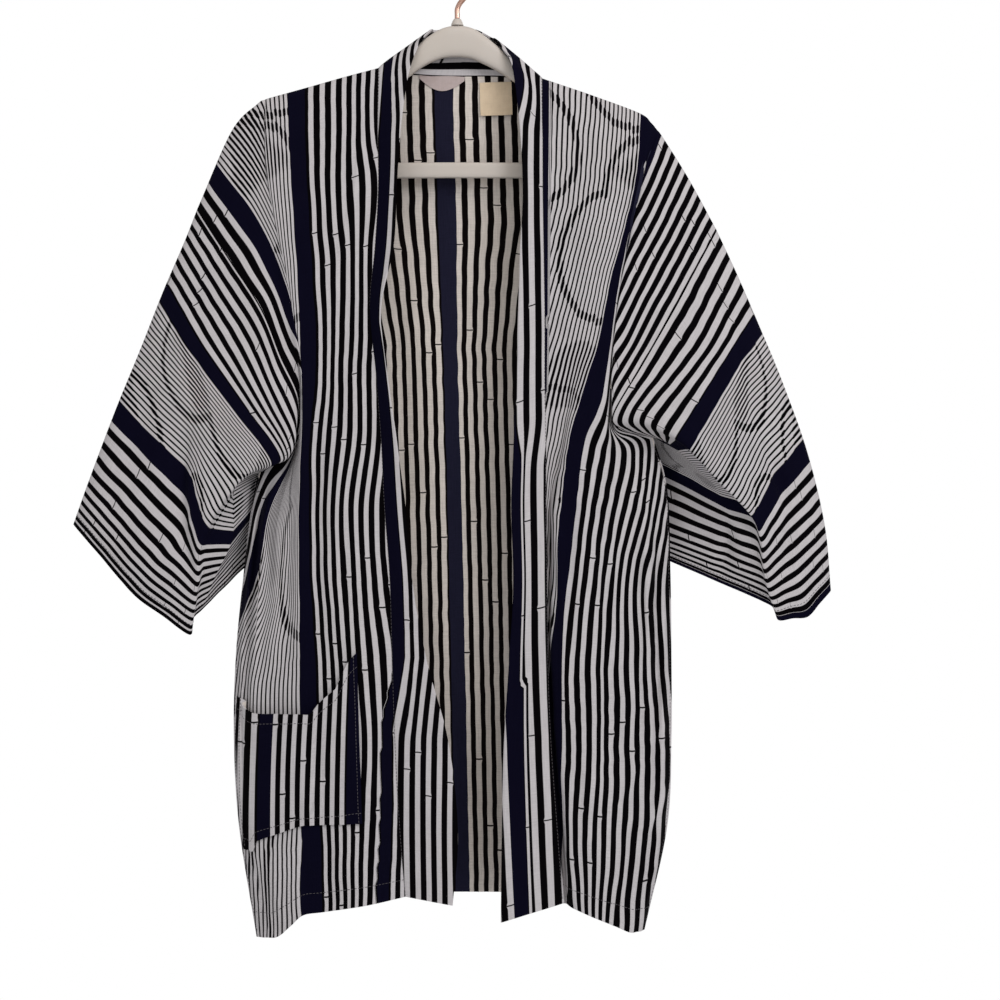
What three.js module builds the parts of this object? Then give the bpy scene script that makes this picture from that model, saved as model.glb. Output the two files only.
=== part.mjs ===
// A happi coat hanging open on a plastic hanger, in millimetres.
// +Z is up, the front faces -Y and the coat's right side, as worn, is at -X.
// The origin is the point inside the top of the hanger's hook where a rail or peg carries it.
//
// Every cloth piece is a thin wall over a grid. A grid comes from a short table of guide
// points: "out" is the distance sideways from the hook's line, "drop" the distance below
// the origin, and "fore" the distance in front of the hanger's plane (negative is behind).
// Station 0 is the shoulder line, station 6 the underarm and station 12 the hem.

import * as THREE from 'three';

// Driving dimensions
const CLOTH = 1.6;
const COLLAR_CLOTH = 2.4;
const SEAM_GAP = 0.3;
const UNDERARM = 6;
const HEM = 12;

// Body tables, one row for each station from 1 to the hem
const BODY_COLUMNS = [
  'seamOut', 'seamDrop', 'seamFore', 'pleatOut', 'pleatFore', 'bandOut',
  'innerOut', 'innerDrop', 'outerOut', 'outerDrop', 'chestFore', 'outerFore', 'tuck',
];

const RIGHT_BODY = table(BODY_COLUMNS, [
  [75, 163, 16, 109, 17, 144, 182, 190, 180, 206, 18, 18, 4],
  [74, 217, 20, 108, 22, 141, 174, 245, 168, 271, 23, 24, 9],
  [77, 277, 22, 107, 24, 135, 163, 305, 157, 340, 26, 27, 13],
  [82, 338, 23, 107, 25, 131, 154, 367, 148, 398, 27, 28, 15],
  [76, 401, 24, 103, 26, 129, 148, 420, 149, 449, 28, 16, 15],
  [71, 463, 25, 101, 27, 131, 148, 468, 162, 484, 27, 6, 10],
  [68, 526, 25, 100, 28, 135, 151, 529, 180, 532, 27, 14, 7],
  [63, 593, 25, 96, 28, 132, 150, 596, 187, 600, 27, 18, 6],
  [61, 670, 24, 95, 28, 132, 149, 670, 191, 673, 27, 19, 5],
  [59, 747, 22, 93, 28, 132, 148, 749, 193, 753, 26, 19, 4],
  [55, 828, 18, 90, 28, 130, 147, 832, 192, 838, 26, 18, 4],
  [49, 902, 13, 85, 28, 127, 147, 918, 172, 940, 25, 16, 3],
]);

const LEFT_BODY = table(BODY_COLUMNS, [
  [81, 172, 16, 129, 17, 172, 178, 205, 180, 217, 18, 18, 3],
  [81, 227, 20, 125, 22, 162, 168, 254, 166, 271, 23, 24, 7],
  [82, 287, 22, 118, 24, 146, 156, 315, 154, 334, 26, 27, 12],
  [83, 348, 23, 111, 25, 135, 149, 372, 148, 391, 27, 28, 15],
  [83, 410, 24, 105, 23, 118, 143, 430, 149, 446, 28, 14, 15],
  [84, 463, 25, 99, 19, 108, 140, 473, 164, 471, 27, 6, 10],
  [84, 521, 25, 90, 16, 100, 138, 529, 176, 526, 27, 14, 7],
  [85, 593, 25, 90, 14, 96, 139, 600, 179, 598, 27, 18, 6],
  [86, 670, 24, 90, 13, 95, 141, 676, 180, 676, 27, 19, 5],
  [89, 747, 24, 93, 13, 99, 143, 753, 180, 753, 27, 19, 5],
  [95, 828, 23, 99, 13, 107, 145, 836, 178, 838, 26, 18, 5],
  [101, 907, 22, 106, 13, 114, 143, 925, 166, 936, 25, 16, 4],
]);

// The shoulder line over the hanger, one row for each guide but the armhole's
const LINE_COLUMNS = ['out', 'drop'];
const RIGHT_SHOULDER = table(LINE_COLUMNS, [
  [75, 103], [109, 112], [144, 122], [180, 132], [186, 134], [193, 138], [218, 164],
]);
const LEFT_SHOULDER = table(LINE_COLUMNS, [
  [81, 113], [131, 130], [176, 147], [187, 156], [193, 163], [199, 171], [224, 211],
]);

// The rounded corner beyond the hanger's tip, at stations 1 to 3
const RIGHT_CORNER = table(LINE_COLUMNS, [[195, 244], [175, 302], [161, 361]]);
const LEFT_CORNER = table(LINE_COLUMNS, [[202, 262], [181, 314], [164, 367]]);

// The side seam below the underarm
const RIGHT_SIDE = table(LINE_COLUMNS, [
  [199, 529], [207, 596], [214, 670], [216, 749], [211, 836], [194, 943],
]);
const LEFT_SIDE = table(LINE_COLUMNS, [
  [203, 511], [206, 588], [207, 670], [207, 751], [203, 836], [181, 936],
]);

// Sleeve tables, one row for each ring from the armhole seam to the cuff.
// A ring starts at the top fold, runs down the front over a crease to its lowest point,
// turns up to the underarm seam and returns behind the body over its furthest reach.
const SLEEVE_COLUMNS = [
  'foldOut', 'foldDrop', 'creaseOut', 'creaseDrop', 'lowOut', 'lowDrop',
  'underOut', 'underDrop', 'reachOut', 'reachDrop',
  'creaseFore', 'lowFore', 'underFore', 'reachAft',
];

const RIGHT_SLEEVE = table(SLEEVE_COLUMNS, [
  [251, 239, 187, 337, 151, 425, 191, 490, 165, 440, 24, 22, 0, 24],
  [264, 272, 202, 372, 157, 468, 199, 492, 170, 455, 24, 30, 2, 26],
  [284, 319, 247, 379, 173, 479, 206, 498, 171, 470, 22, 30, 4, 28],
  [307, 377, 257, 429, 205, 496, 215, 508, 172, 484, 20, 30, 8, 30],
  [330, 433, 259, 504, 243, 552, 216, 557, 178, 502, 22, 28, 12, 32],
  [356, 502, 287, 576, 250, 609, 233, 595, 183, 529, 22, 22, 10, 33],
  [371, 544, 309, 613, 256, 650, 246, 627, 187, 564, 16, 20, 8, 34],
]);

const LEFT_SLEEVE = table(SLEEVE_COLUMNS, [
  [250, 259, 206, 340, 149, 440, 190, 461, 165, 425, 24, 22, 0, 24],
  [270, 302, 233, 372, 180, 442, 197, 463, 172, 439, 24, 28, 2, 26],
  [291, 351, 267, 384, 218, 464, 209, 470, 177, 449, 22, 30, 4, 28],
  [313, 404, 283, 439, 249, 500, 235, 494, 178, 463, 22, 30, 6, 30],
  [338, 474, 308, 508, 286, 544, 257, 523, 178, 478, 20, 28, 10, 32],
  [355, 545, 323, 575, 296, 596, 278, 580, 176, 540, 18, 22, 10, 34],
  [361, 608, 337, 633, 308, 636, 291, 617, 174, 566, 14, 18, 8, 35],
]);

// The collar band's free edge, from the shoulder down each front
const FREE_EDGE_COLUMNS = ['station', 'out', 'drop', 'fore'];
const RIGHT_FREE_EDGE = table(FREE_EDGE_COLUMNS, [
  [0, 24, 65, -2], [0.2, 35, 79, 8], [0.5, 46, 110, 17], [1, 53, 161, 26],
  [2, 57, 218, 31], [3, 60, 277, 32], [4, 72, 340, 32], [5, 66, 402, 32],
  [6, 57, 465, 32], [7, 49, 529, 31], [8, 43, 596, 30], [9, 29, 672, 28],
  [10, 8, 751, 26], [11, -1, 838, 24], [12, 4, 909, 22],
]);
const LEFT_FREE_EDGE = table(FREE_EDGE_COLUMNS, [
  [0, 35, 73.5, -2], [0.2, 44, 86, 8.5], [0.5, 53, 104, 17], [1, 60, 161, 26],
  [2, 63, 228, 31], [3, 60, 292, 32], [4, 58, 358, 32], [5, 56, 420, 32],
  [6, 54, 473, 32], [7, 52, 529, 31], [8, 54, 603, 30], [9, 50, 674, 29],
  [10, 45, 753, 28], [11, 43, 838, 26], [12, 42, 925, 24],
]);

// Where the grids are sampled
const DOWN_STATIONS = [
  0, 0.06, 0.2, 0.5, 1, 1.5, 2, 2.5, 3, 3.5, 4, 4.5, 5, 5.5, 6,
  6.5, 7, 8, 9, 9.5, 10, 10.5, 11, 11.5, 12,
];
const SIDE_GUIDES = 7;
const ACROSS_PLACES = [0, 0.5, 1, 1.5, 2, 2.5, 3, 4, 5, 5.5, 6, 6.5, 7];
const NECK_PLACES = [0.015, 0.045, 0.12, 0.28, 0.5, 0.72, 0.88, 0.955, 0.985];
const SLEEVE_PLACES = [0, 0.5, 1, 1.5, 2, 2.5, 3, 3.5, 4, 4.5, 5, 5.5, 6];
const COLLAR_SPANS = 4;

// The pocket's columns from beside the collar to the side seam, as places in the front's
// grid, with the stations of its mouth and bottom on each
const POCKET_EDGE = table(['column', 'mouth', 'bottom'], [
  [2, 8.95, 11], [2.5, 9.1, 11], [3, 9.4, 11], [4, 9.6, 11], [5, 9.7, 11], [6, 9.7, 11],
  [7, 9.68, 11.05], [8, 9.65, 11.1], [9, 9.6, 11.2], [10, 9.55, 11.2], [11, 9.5, 11.2],
]);
const POCKET_ROWS = 8;
const POCKET_GAP = 0.9;
const POCKET_GAPE = 8;

// Labels inside the back neck: the middle of the top edge, the size and the tilt
const NECK_LABEL = { x: -15, z: -108.5, width: 44, height: 4, bow: 11, tilt: 0.06 };
const CARE_LABEL = { x: 37, z: -115, width: 31, height: 32, bow: 0, tilt: -0.03 };
const LABEL_SPANS = 4;
const LABEL_GAP = 0.5;
const LABEL_CLOTH = 0.8;

// The hanger, by drops below the origin
const ARM_SECTIONS = table(['x', 'top', 'bottom', 'halfDepth'], [
  [-184.5, 143.5, 147, 1.6], [-183, 140.5, 150, 3], [-179, 137, 151.2, 4],
  [-172, 133.8, 150.5, 4.4], [-144, 124.8, 143.5, 4.6], [-109, 114.8, 136, 4.8],
  [-74, 106, 129, 5], [-50, 91.5, 114.5, 5.5], [-36, 79.5, 104, 6], [-23, 69.8, 97, 6],
  [-12, 64.5, 93.5, 6], [0, 62.6, 92.7, 6], [12, 64.3, 94, 6], [22, 69.2, 98, 6],
  [37, 81, 105.5, 5.6], [56, 98.5, 117.7, 5.2], [81, 117.2, 136, 4.8], [109, 125.6, 144, 4.6],
  [131, 133.2, 151, 4.8], [160, 144, 159.5, 4.5], [172, 149.5, 163.2, 4.2],
  [179, 155, 164.2, 3.4], [182, 158.5, 163.5, 2.4], [184, 160.5, 162.7, 1.4],
]);
const BAR_PATH = table(['x', 'drop'], [
  [-177.6, 151.7], [-178, 158], [-181.5, 168], [-182.2, 178], [-175, 193], [-160, 200.5],
  [-140, 202.2], [0, 202.2], [130, 202.2], [150, 200.8], [166, 194], [175.5, 184],
  [177, 177], [175.9, 170], [175.7, 164.7],
]);
const BAR_HEIGHT = 15;
const BAR_DEPTH = 7;
const BAR_SPANS = 32;
const HOOK_WIRE = 5;
const HOOK_RADIUS = 19;
const HOOK_OPEN_ANGLE = 205;
const HOOK_TURN_ANGLE = -55;
const NECK_TOP_DROP = 56;
const NECK_FOOT_DROP = 62.3;

// The back neckline and the collar's back, between the shoulder points
const NECK_DIP = 4;
const NECK_AFT = 13;
const BACK_CENTRE_DROPS = [109, 165, 222, 281, 343, 405, 463, 522, 590, 665, 742, 820, 903];
const BACK_AFTS = [13, 16, 19, 20, 21, 21, 21, 22, 22, 22, 22, 22, 22];
const COLLAR_BACK_DROP = 62;
const COLLAR_BACK_AFT = 12;
const SHOULDER_ROUNDNESS = 0.36;
const NECK_ROUNDNESS = 0.27;
const SIDE_FULLNESS = 4;

// Soft folds, placed by guide number across, station range down, width and height
const FOLD_COLUMNS = ['place', 'lean', 'from', 'to', 'width', 'height'];
const RIGHT_FRONT_FOLDS = table(FOLD_COLUMNS, [
  [1.2, 0.2, 5, 13, 0.45, 3],
  [2.1, -0.3, 6, 12, 0.4, -3],
  [5.2, 0.2, 6.2, 10, 0.35, 6],
  [5.9, 0.2, 6.4, 11, 0.3, -6],
  [6.4, 0.1, 7, 13, 0.3, 5],
]);
const LEFT_FRONT_FOLDS = table(FOLD_COLUMNS, [
  [2.6, 0.3, 6, 13, 0.35, 5],
  [3.4, 0.5, 6.5, 13, 0.4, -4],
  [5.1, 0.4, 6.5, 12, 0.4, 5],
  [5.9, -0.3, 7, 13, 0.3, -5],
  [6.4, 0.1, 8, 13, 0.25, 4],
]);
const BACK_FOLDS = table(FOLD_COLUMNS, [
  [0.8, 0.3, 3, 13, 0.5, 5],
  [1.9, -0.2, 5, 13, 0.45, -5],
  [2.9, 0.3, 4, 13, 0.5, 6],
  [4.6, 0.4, 6, 13, 0.5, -6],
  [5.8, -0.2, 6.5, 13, 0.35, 5],
]);

// A table turns rows of numbers into rows with named columns
function table(columns, rows) {
  return rows.map((row) => Object.fromEntries(columns.map((name, i) => [name, row[i]])));
}

// A smooth curve through values that stand one apart
function smooth(values, at) {
  const last = values.length - 1;
  const start = Math.min(Math.max(Math.floor(at), 0), last - 1);
  const f = at - start;
  const b = values[start];
  const c = values[start + 1];
  const a = start > 0 ? values[start - 1] : 2 * b - c;
  const d = start + 2 <= last ? values[start + 2] : 2 * c - b;
  const bend = 2 * a - 5 * b + 4 * c - d;
  const twist = 3 * b - a - 3 * c + d;
  return 0.5 * (2 * b + (c - a) * f + bend * f * f + twist * f * f * f);
}

function smoothPoint(points, at) {
  return new THREE.Vector3(
    smooth(points.map((p) => p.x), at),
    smooth(points.map((p) => p.y), at),
    smooth(points.map((p) => p.z), at),
  );
}

function mix(a, b, f) {
  return a + (b - a) * f;
}

// A guide point: side is -1 for the coat's right and +1 for its left
function place(side, out, drop, fore) {
  return new THREE.Vector3(side * out, -fore, -drop);
}

// Cloth falls away from the shoulder line steeply at first, so its depth grows as a root
function shoulderRise(net, across, down) {
  const point = smoothPoint(net.map((row) => smoothPoint(row, across)), down);
  if (down < 1) {
    const top = smoothPoint(net[0], across).y;
    const below = smoothPoint(net[1], across).y;
    point.y = mix(top, below, down ** SHOULDER_ROUNDNESS);
  }
  return point;
}

// Guide points of one sleeve ring: the front from fold to underarm, and the back likewise
function sleeveRing(side, row) {
  const fold = [row.foldOut, row.foldDrop];
  const crease = [row.creaseOut, row.creaseDrop];
  const low = [row.lowOut, row.lowDrop];
  const under = [row.underOut, row.underDrop];
  const reach = [row.reachOut, row.reachDrop];
  const between = (p, q, f, fore) => place(side, mix(p[0], q[0], f), mix(p[1], q[1], f), fore);
  const front = [
    place(side, ...fold, 0),
    between(fold, crease, 0.5, 0.72 * row.creaseFore),
    place(side, ...crease, row.creaseFore),
    between(crease, low, 0.5, 0.5 * (row.creaseFore + row.lowFore) + 1),
    place(side, ...low, row.lowFore),
    place(side, mix(low[0], under[0], 0.25), mix(low[1], under[1], 0.62),
      mix(row.lowFore, row.underFore, 0.45)),
    place(side, ...under, row.underFore),
  ];
  const back = [
    place(side, ...fold, 0),
    between(fold, reach, 0.3, -0.64 * row.reachAft),
    between(fold, reach, 0.6, -0.92 * row.reachAft),
    between(fold, reach, 0.85, -1.04 * row.reachAft),
    place(side, ...reach, -row.reachAft),
    between(reach, under, 0.5, mix(-row.reachAft, row.underFore, 0.42)),
    place(side, ...under, row.underFore),
  ];
  return { front, back };
}

// The sleeve as closed rings of points, with the rings' stations as the body's
function sleeveGrid(side, rows) {
  const rings = rows.map((row) => sleeveRing(side, row));
  const stations = DOWN_STATIONS.filter((v) => v <= UNDERARM);
  const atRing = (layer, w, v) => {
    const net = rings.map((ring) => ring[layer]);
    const guide = net[0].map((_, k) => smoothPoint(net.map((ring) => ring[k]), w));
    const point = smoothPoint(guide, v);
    if (v < 1) point.y = mix(guide[0].y, guide[1].y, v ** SHOULDER_ROUNDNESS);
    return point;
  };
  return SLEEVE_PLACES.map((w) => {
    const front = stations.map((v) => atRing('front', w, v));
    const back = stations.slice(1, -1).reverse().map((v) => atRing('back', w, v));
    return [...front, ...back];
  });
}

// Guide net of one half of the body: eight guides from the collar seam to the side
function halfNet(half, layer) {
  const { side, body, shoulder, corner, seamSide, sleeve } = half;
  const isFront = layer === 'front';
  const ring = sleeveRing(side, sleeve[0])[layer];
  const shoulderRow = shoulder.map((p) => place(side, p.out, p.drop, 0));
  const lowerRows = body.map((row, k) => {
    const v = k + 1;
    const aft = BACK_AFTS[v];
    const depth = (fore, share) => (isFront ? fore : -aft * share);
    const dropAt = (out) => mix(row.seamDrop, row.innerDrop,
      (out - row.seamOut) / (row.innerOut - row.seamOut));
    const edge = v <= UNDERARM
      ? ring[v]
      : place(side, seamSide[v - UNDERARM - 1].out, seamSide[v - UNDERARM - 1].drop, 0);
    const outerShare = v === UNDERARM - 1 ? 0.65 : 0.85;
    const outer = place(side, row.outerOut, row.outerDrop, depth(row.outerFore, outerShare));
    const turn = v <= corner.length
      ? place(side, corner[k].out, corner[k].drop, depth(0.9 * row.outerFore, 0.9))
      : outer.clone().lerp(edge, 0.5);
    if (v > UNDERARM) turn.y += isFront ? -SIDE_FULLNESS : SIDE_FULLNESS;
    return [
      place(side, row.seamOut, row.seamDrop, depth(row.seamFore, 1)),
      place(side, row.pleatOut, dropAt(row.pleatOut), depth(row.pleatFore, 1)),
      place(side, row.bandOut, dropAt(row.bandOut), depth(row.chestFore, 1)),
      place(side, row.innerOut, row.innerDrop, depth(row.chestFore, 1)),
      place(side, mix(row.innerOut, row.outerOut, 0.5), mix(row.innerDrop, row.outerDrop, 0.5),
        depth(row.chestFore - row.tuck, 1) - (isFront ? 0 : 0.4 * row.tuck)),
      outer,
      turn,
      edge,
    ];
  });
  return [[...shoulderRow, ring[0]], ...lowerRows];
}

// The side seam from the underarm to the hem, the same for front and back
function sideSeam(half, v) {
  const under = sleeveRing(half.side, half.sleeve[0]).front[UNDERARM];
  const points = [under, ...half.seamSide.map((p) => place(half.side, p.out, p.drop, 0))];
  return smoothPoint(points, v - UNDERARM);
}

// How far the soft folds lift the cloth at a place on a panel
function foldHeight(folds, across, down) {
  let height = 0;
  for (const fold of folds) {
    const line = fold.place + fold.lean * (down - fold.from) / HEM;
    const away = (across - line) / fold.width;
    const along = Math.min(Math.max((down - fold.from) / (fold.to - fold.from), 0), 1);
    height += fold.height * Math.exp(-away * away) * Math.sin(Math.PI * Math.sqrt(along));
  }
  return height;
}

// One half of the body as a grid, its armhole edge taken from the sleeve's first ring
function halfGrid(half, layer, folds, armhole) {
  const net = halfNet(half, layer);
  const facing = layer === 'front' ? -1 : 1;
  return DOWN_STATIONS.map((v, i) => ACROSS_PLACES.map((u) => {
    if (u === SIDE_GUIDES) return v <= UNDERARM ? armhole[i].clone() : sideSeam(half, v);
    const point = shoulderRise(net, u, v);
    const edgeFade = Math.min(1, (SIDE_GUIDES - u) / 0.6);
    point.y += facing * foldHeight(folds, u, v) * edgeFade;
    return point;
  }));
}

// The back panel: two halves joined by the neck's width
function backGrid(rightHalf, leftHalf) {
  return DOWN_STATIONS.map((v, i) => {
    const right = rightHalf[i];
    const left = leftHalf[i];
    const centreDrop = v < 1
      ? mix(BACK_CENTRE_DROPS[0], BACK_CENTRE_DROPS[1], v)
      : smooth(BACK_CENTRE_DROPS, v);
    const centreAft = smooth(BACK_AFTS, v);
    const middle = [];
    for (const f of NECK_PLACES) {
      const dip = Math.sin(Math.PI * f);
      const straight = right[0].clone().lerp(left[0], f);
      const aft = v === 0 ? NECK_AFT : centreAft;
      middle.push(new THREE.Vector3(
        straight.x,
        mix(straight.y, aft, dip ** NECK_ROUNDNESS),
        mix(straight.z, -centreDrop, dip),
      ));
    }
    return [...right.slice().reverse(), ...middle, ...left];
  });
}

// The collar band: one edge sewn to the fronts and the back neck, the other free
function collarGrid(rightFront, leftFront, back) {
  const freeAt = (side, rows, v) => {
    let k = 0;
    while (k < rows.length - 2 && rows[k + 1].station <= v) k += 1;
    const f = (v - rows[k].station) / (rows[k + 1].station - rows[k].station);
    return smoothPoint(rows.map((r) => place(side, r.out, r.drop, r.fore)), k + f);
  };
  const rows = [];
  const addFront = (grid, side, rowsOfEdge, order) => {
    for (const i of order) {
      const seam = grid[i][0];
      rows.push(bandAcross(seam, freeAt(side, rowsOfEdge, DOWN_STATIONS[i]), 0));
    }
  };
  const indices = DOWN_STATIONS.map((_, i) => i);
  addFront(rightFront, -1, RIGHT_FREE_EDGE, indices.slice().reverse());
  const start = freeAt(-1, RIGHT_FREE_EDGE, 0);
  const end = freeAt(1, LEFT_FREE_EDGE, 0);
  const first = ACROSS_PLACES.length;
  NECK_PLACES.forEach((f, k) => {
    const arch = Math.sin(Math.PI * f);
    const free = start.clone().lerp(end, f);
    free.y = mix(free.y, COLLAR_BACK_AFT, arch ** NECK_ROUNDNESS);
    free.z = mix(free.z, -COLLAR_BACK_DROP, arch);
    rows.push(bandAcross(back[0][first + k], free, 0));
  });
  addFront(leftFront, 1, LEFT_FREE_EDGE, indices);
  return rows;
}

function bandAcross(seam, free, bow) {
  const points = [];
  for (let k = 0; k <= COLLAR_SPANS; k += 1) {
    const point = seam.clone().lerp(free, k / COLLAR_SPANS);
    point.y -= bow * Math.sin(Math.PI * k / COLLAR_SPANS);
    points.push(point);
  }
  return points;
}

// Normals of a grid; closed grids wrap round from the last column to the first
function gridNormals(grid, closed, flip) {
  const rows = grid.length;
  const columns = grid[0].length;
  return grid.map((row, i) => row.map((_, j) => {
    const up = grid[Math.max(i - 1, 0)][j];
    const down = grid[Math.min(i + 1, rows - 1)][j];
    const before = closed ? row[(j + columns - 1) % columns] : row[Math.max(j - 1, 0)];
    const after = closed ? row[(j + 1) % columns] : row[Math.min(j + 1, columns - 1)];
    const along = after.clone().sub(before);
    const normal = along.cross(down.clone().sub(up)).normalize();
    return flip ? normal.negate() : normal;
  }));
}

function keyOf(point) {
  return [point.x, point.y, point.z].map((n) => n.toFixed(2)).join(' ');
}

// Where sheets share a seam, their rims point the same way and stand a gap apart
function joinSheets(sheets) {
  const shared = new Map();
  for (const sheet of sheets) {
    sheet.normals = gridNormals(sheet.grid, sheet.closed, sheet.flip);
    forEachRim(sheet, (i, j) => {
      const key = keyOf(sheet.grid[i][j]);
      const entry = shared.get(key) ?? { sum: new THREE.Vector3(), sheets: new Set() };
      entry.sum.add(sheet.normals[i][j]);
      entry.sheets.add(sheet);
      shared.set(key, entry);
    });
  }
  for (const sheet of sheets) {
    const moves = [];
    forEachRim(sheet, (i, j) => {
      const entry = shared.get(keyOf(sheet.grid[i][j]));
      if (entry.sheets.size < 2) return;
      sheet.normals[i][j] = entry.sum.clone().normalize();
      moves.push([i, j, inwardStep(sheet, i, j)]);
    });
    for (const [i, j, step] of moves) sheet.grid[i][j].add(step);
  }
}

function forEachRim(sheet, visit) {
  const rows = sheet.grid.length;
  const columns = sheet.grid[0].length;
  for (let i = 0; i < rows; i += 1) {
    for (let j = 0; j < columns; j += 1) {
      const onEnd = i === 0 || i === rows - 1;
      const onSide = !sheet.closed && (j === 0 || j === columns - 1);
      if (onEnd || onSide) visit(i, j);
    }
  }
}

// A short step into the sheet, square to the rim
function inwardStep(sheet, i, j) {
  const { grid, closed } = sheet;
  const rows = grid.length;
  const columns = grid[0].length;
  const step = new THREE.Vector3();
  const towards = (other, before, after) => {
    const rim = after.clone().sub(before).normalize();
    const into = other.clone().sub(grid[i][j]);
    step.add(into.addScaledVector(rim, -into.dot(rim)).setLength(SEAM_GAP * 0.75));
  };
  const above = grid[Math.max(i - 1, 0)][j];
  const below = grid[Math.min(i + 1, rows - 1)][j];
  const left = closed ? grid[i][(j + columns - 1) % columns] : grid[i][Math.max(j - 1, 0)];
  const right = closed ? grid[i][(j + 1) % columns] : grid[i][Math.min(j + 1, columns - 1)];
  if (i === 0) towards(below, left, right);
  if (i === rows - 1) towards(above, left, right);
  if (!closed && j === 0) towards(right, above, below);
  if (!closed && j === columns - 1) towards(left, above, below);
  return step;
}

// A closed wall between an outer grid and an inner grid
function wallGeometry(outer, inner, closed) {
  const rows = outer.length;
  const columns = outer[0].length;
  const positions = [];
  for (const layer of [outer, inner]) {
    for (const row of layer) for (const p of row) positions.push(p.x, p.y, p.z);
  }
  const at = (layer, i, j) => (layer * rows + i) * columns + (j % columns);
  const faces = [];
  const quad = (a, b, c, d) => faces.push(a, b, c, a, c, d);
  const spans = closed ? columns : columns - 1;
  for (let i = 0; i < rows - 1; i += 1) {
    for (let j = 0; j < spans; j += 1) {
      quad(at(0, i, j), at(0, i, j + 1), at(0, i + 1, j + 1), at(0, i + 1, j));
      quad(at(1, i, j), at(1, i + 1, j), at(1, i + 1, j + 1), at(1, i, j + 1));
    }
  }
  for (let j = 0; j < spans; j += 1) {
    quad(at(0, 0, j), at(1, 0, j), at(1, 0, j + 1), at(0, 0, j + 1));
    quad(at(0, rows - 1, j), at(0, rows - 1, j + 1), at(1, rows - 1, j + 1), at(1, rows - 1, j));
  }
  if (!closed) {
    const end = columns - 1;
    for (let i = 0; i < rows - 1; i += 1) {
      quad(at(0, i, 0), at(0, i + 1, 0), at(1, i + 1, 0), at(1, i, 0));
      quad(at(0, i, end), at(1, i, end), at(1, i + 1, end), at(0, i + 1, end));
    }
  }
  const geometry = new THREE.BufferGeometry();
  geometry.setAttribute('position', new THREE.Float32BufferAttribute(positions, 3));
  geometry.setIndex(faces);
  if (signedVolume(geometry) < 0) geometry.setIndex(flipped(faces));
  geometry.computeVertexNormals();
  return geometry;
}

function signedVolume(geometry) {
  const p = geometry.getAttribute('position');
  const index = geometry.getIndex();
  const a = new THREE.Vector3();
  const b = new THREE.Vector3();
  const c = new THREE.Vector3();
  let volume = 0;
  for (let k = 0; k < index.count; k += 3) {
    a.fromBufferAttribute(p, index.getX(k));
    b.fromBufferAttribute(p, index.getX(k + 1));
    c.fromBufferAttribute(p, index.getX(k + 2));
    volume += a.dot(b.cross(c));
  }
  return volume / 6;
}

function flipped(faces) {
  const turned = [];
  for (let k = 0; k < faces.length; k += 3) turned.push(faces[k], faces[k + 2], faces[k + 1]);
  return turned;
}

function offsetGrid(grid, normals, distance) {
  return grid.map((row, i) => row.map((p, j) => p.clone().addScaledVector(normals[i][j], distance)));
}

function sheetMesh(sheet) {
  const inner = offsetGrid(sheet.grid, sheet.normals, -sheet.thickness);
  return namedMesh(sheet.name, wallGeometry(sheet.grid, inner, sheet.closed), sheet.material);
}

function namedMesh(name, geometry, material) {
  const mesh = new THREE.Mesh(geometry, material);
  mesh.name = name;
  return mesh;
}

// A point on a sheet's polygons, by fractional column and row, and the direction it faces
function onSheet(sheet, normals, column, row) {
  const j = Math.min(Math.floor(column), sheet[0].length - 2);
  const i = Math.min(Math.floor(row), sheet.length - 2);
  const f = column - j;
  const g = row - i;
  const blend = (values) => {
    const top = values[i][j].clone().lerp(values[i][j + 1], f);
    return top.lerp(values[i + 1][j].clone().lerp(values[i + 1][j + 1], f), g);
  };
  return { point: blend(sheet), normal: blend(normals).normalize() };
}

// The row of a grid, as a fraction, at which a station lies
function rowAt(station) {
  let i = 0;
  while (i < DOWN_STATIONS.length - 2 && DOWN_STATIONS[i + 1] <= station) i += 1;
  return i + (station - DOWN_STATIONS[i]) / (DOWN_STATIONS[i + 1] - DOWN_STATIONS[i]);
}

// The patch pocket lies on the front and gapes along its drooping mouth
function pocketMesh(front, normals) {
  const outer = [];
  const inner = [];
  for (let k = 0; k <= POCKET_ROWS; k += 1) {
    const down = k / POCKET_ROWS;
    const outerRow = [];
    const innerRow = [];
    POCKET_EDGE.forEach((edge, n) => {
      const across = n / (POCKET_EDGE.length - 1);
      const at = onSheet(front, normals, edge.column, rowAt(mix(edge.mouth, edge.bottom, down)));
      const gape = POCKET_GAPE * Math.sin(Math.PI * across) * (1 - down) ** 1.6;
      const base = at.point.clone().addScaledVector(at.normal, POCKET_GAP + gape);
      innerRow.push(base);
      outerRow.push(base.clone().addScaledVector(at.normal, CLOTH));
    });
    outer.push(outerRow);
    inner.push(innerRow);
  }
  return namedMesh('pocket', wallGeometry(outer, inner, false), stripedCotton);
}

// A label hangs inside the back, close to the cloth
function labelMesh(name, label, sheet, normals, material) {
  const outer = [];
  const inner = [];
  for (let i = 0; i <= LABEL_SPANS; i += 1) {
    const outerRow = [];
    const innerRow = [];
    for (let j = 0; j <= LABEL_SPANS; j += 1) {
      const acrossLabel = (j / LABEL_SPANS - 0.5) * label.width;
      const droop = label.bow * Math.sin(Math.PI * j / LABEL_SPANS);
      const downLabel = i / LABEL_SPANS * (label.height + droop);
      const x = label.x + acrossLabel * Math.cos(label.tilt) - downLabel * Math.sin(label.tilt);
      const z = label.z - acrossLabel * Math.sin(label.tilt) - downLabel * Math.cos(label.tilt);
      const at = nearestOnSheet(sheet, normals, x, z);
      const back = at.point.clone().addScaledVector(at.normal, -CLOTH - LABEL_GAP);
      innerRow.push(back);
      outerRow.push(back.clone().addScaledVector(at.normal, -LABEL_CLOTH));
    }
    outer.push(outerRow);
    inner.push(innerRow);
  }
  return namedMesh(name, wallGeometry(outer, inner, false), material);
}

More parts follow.
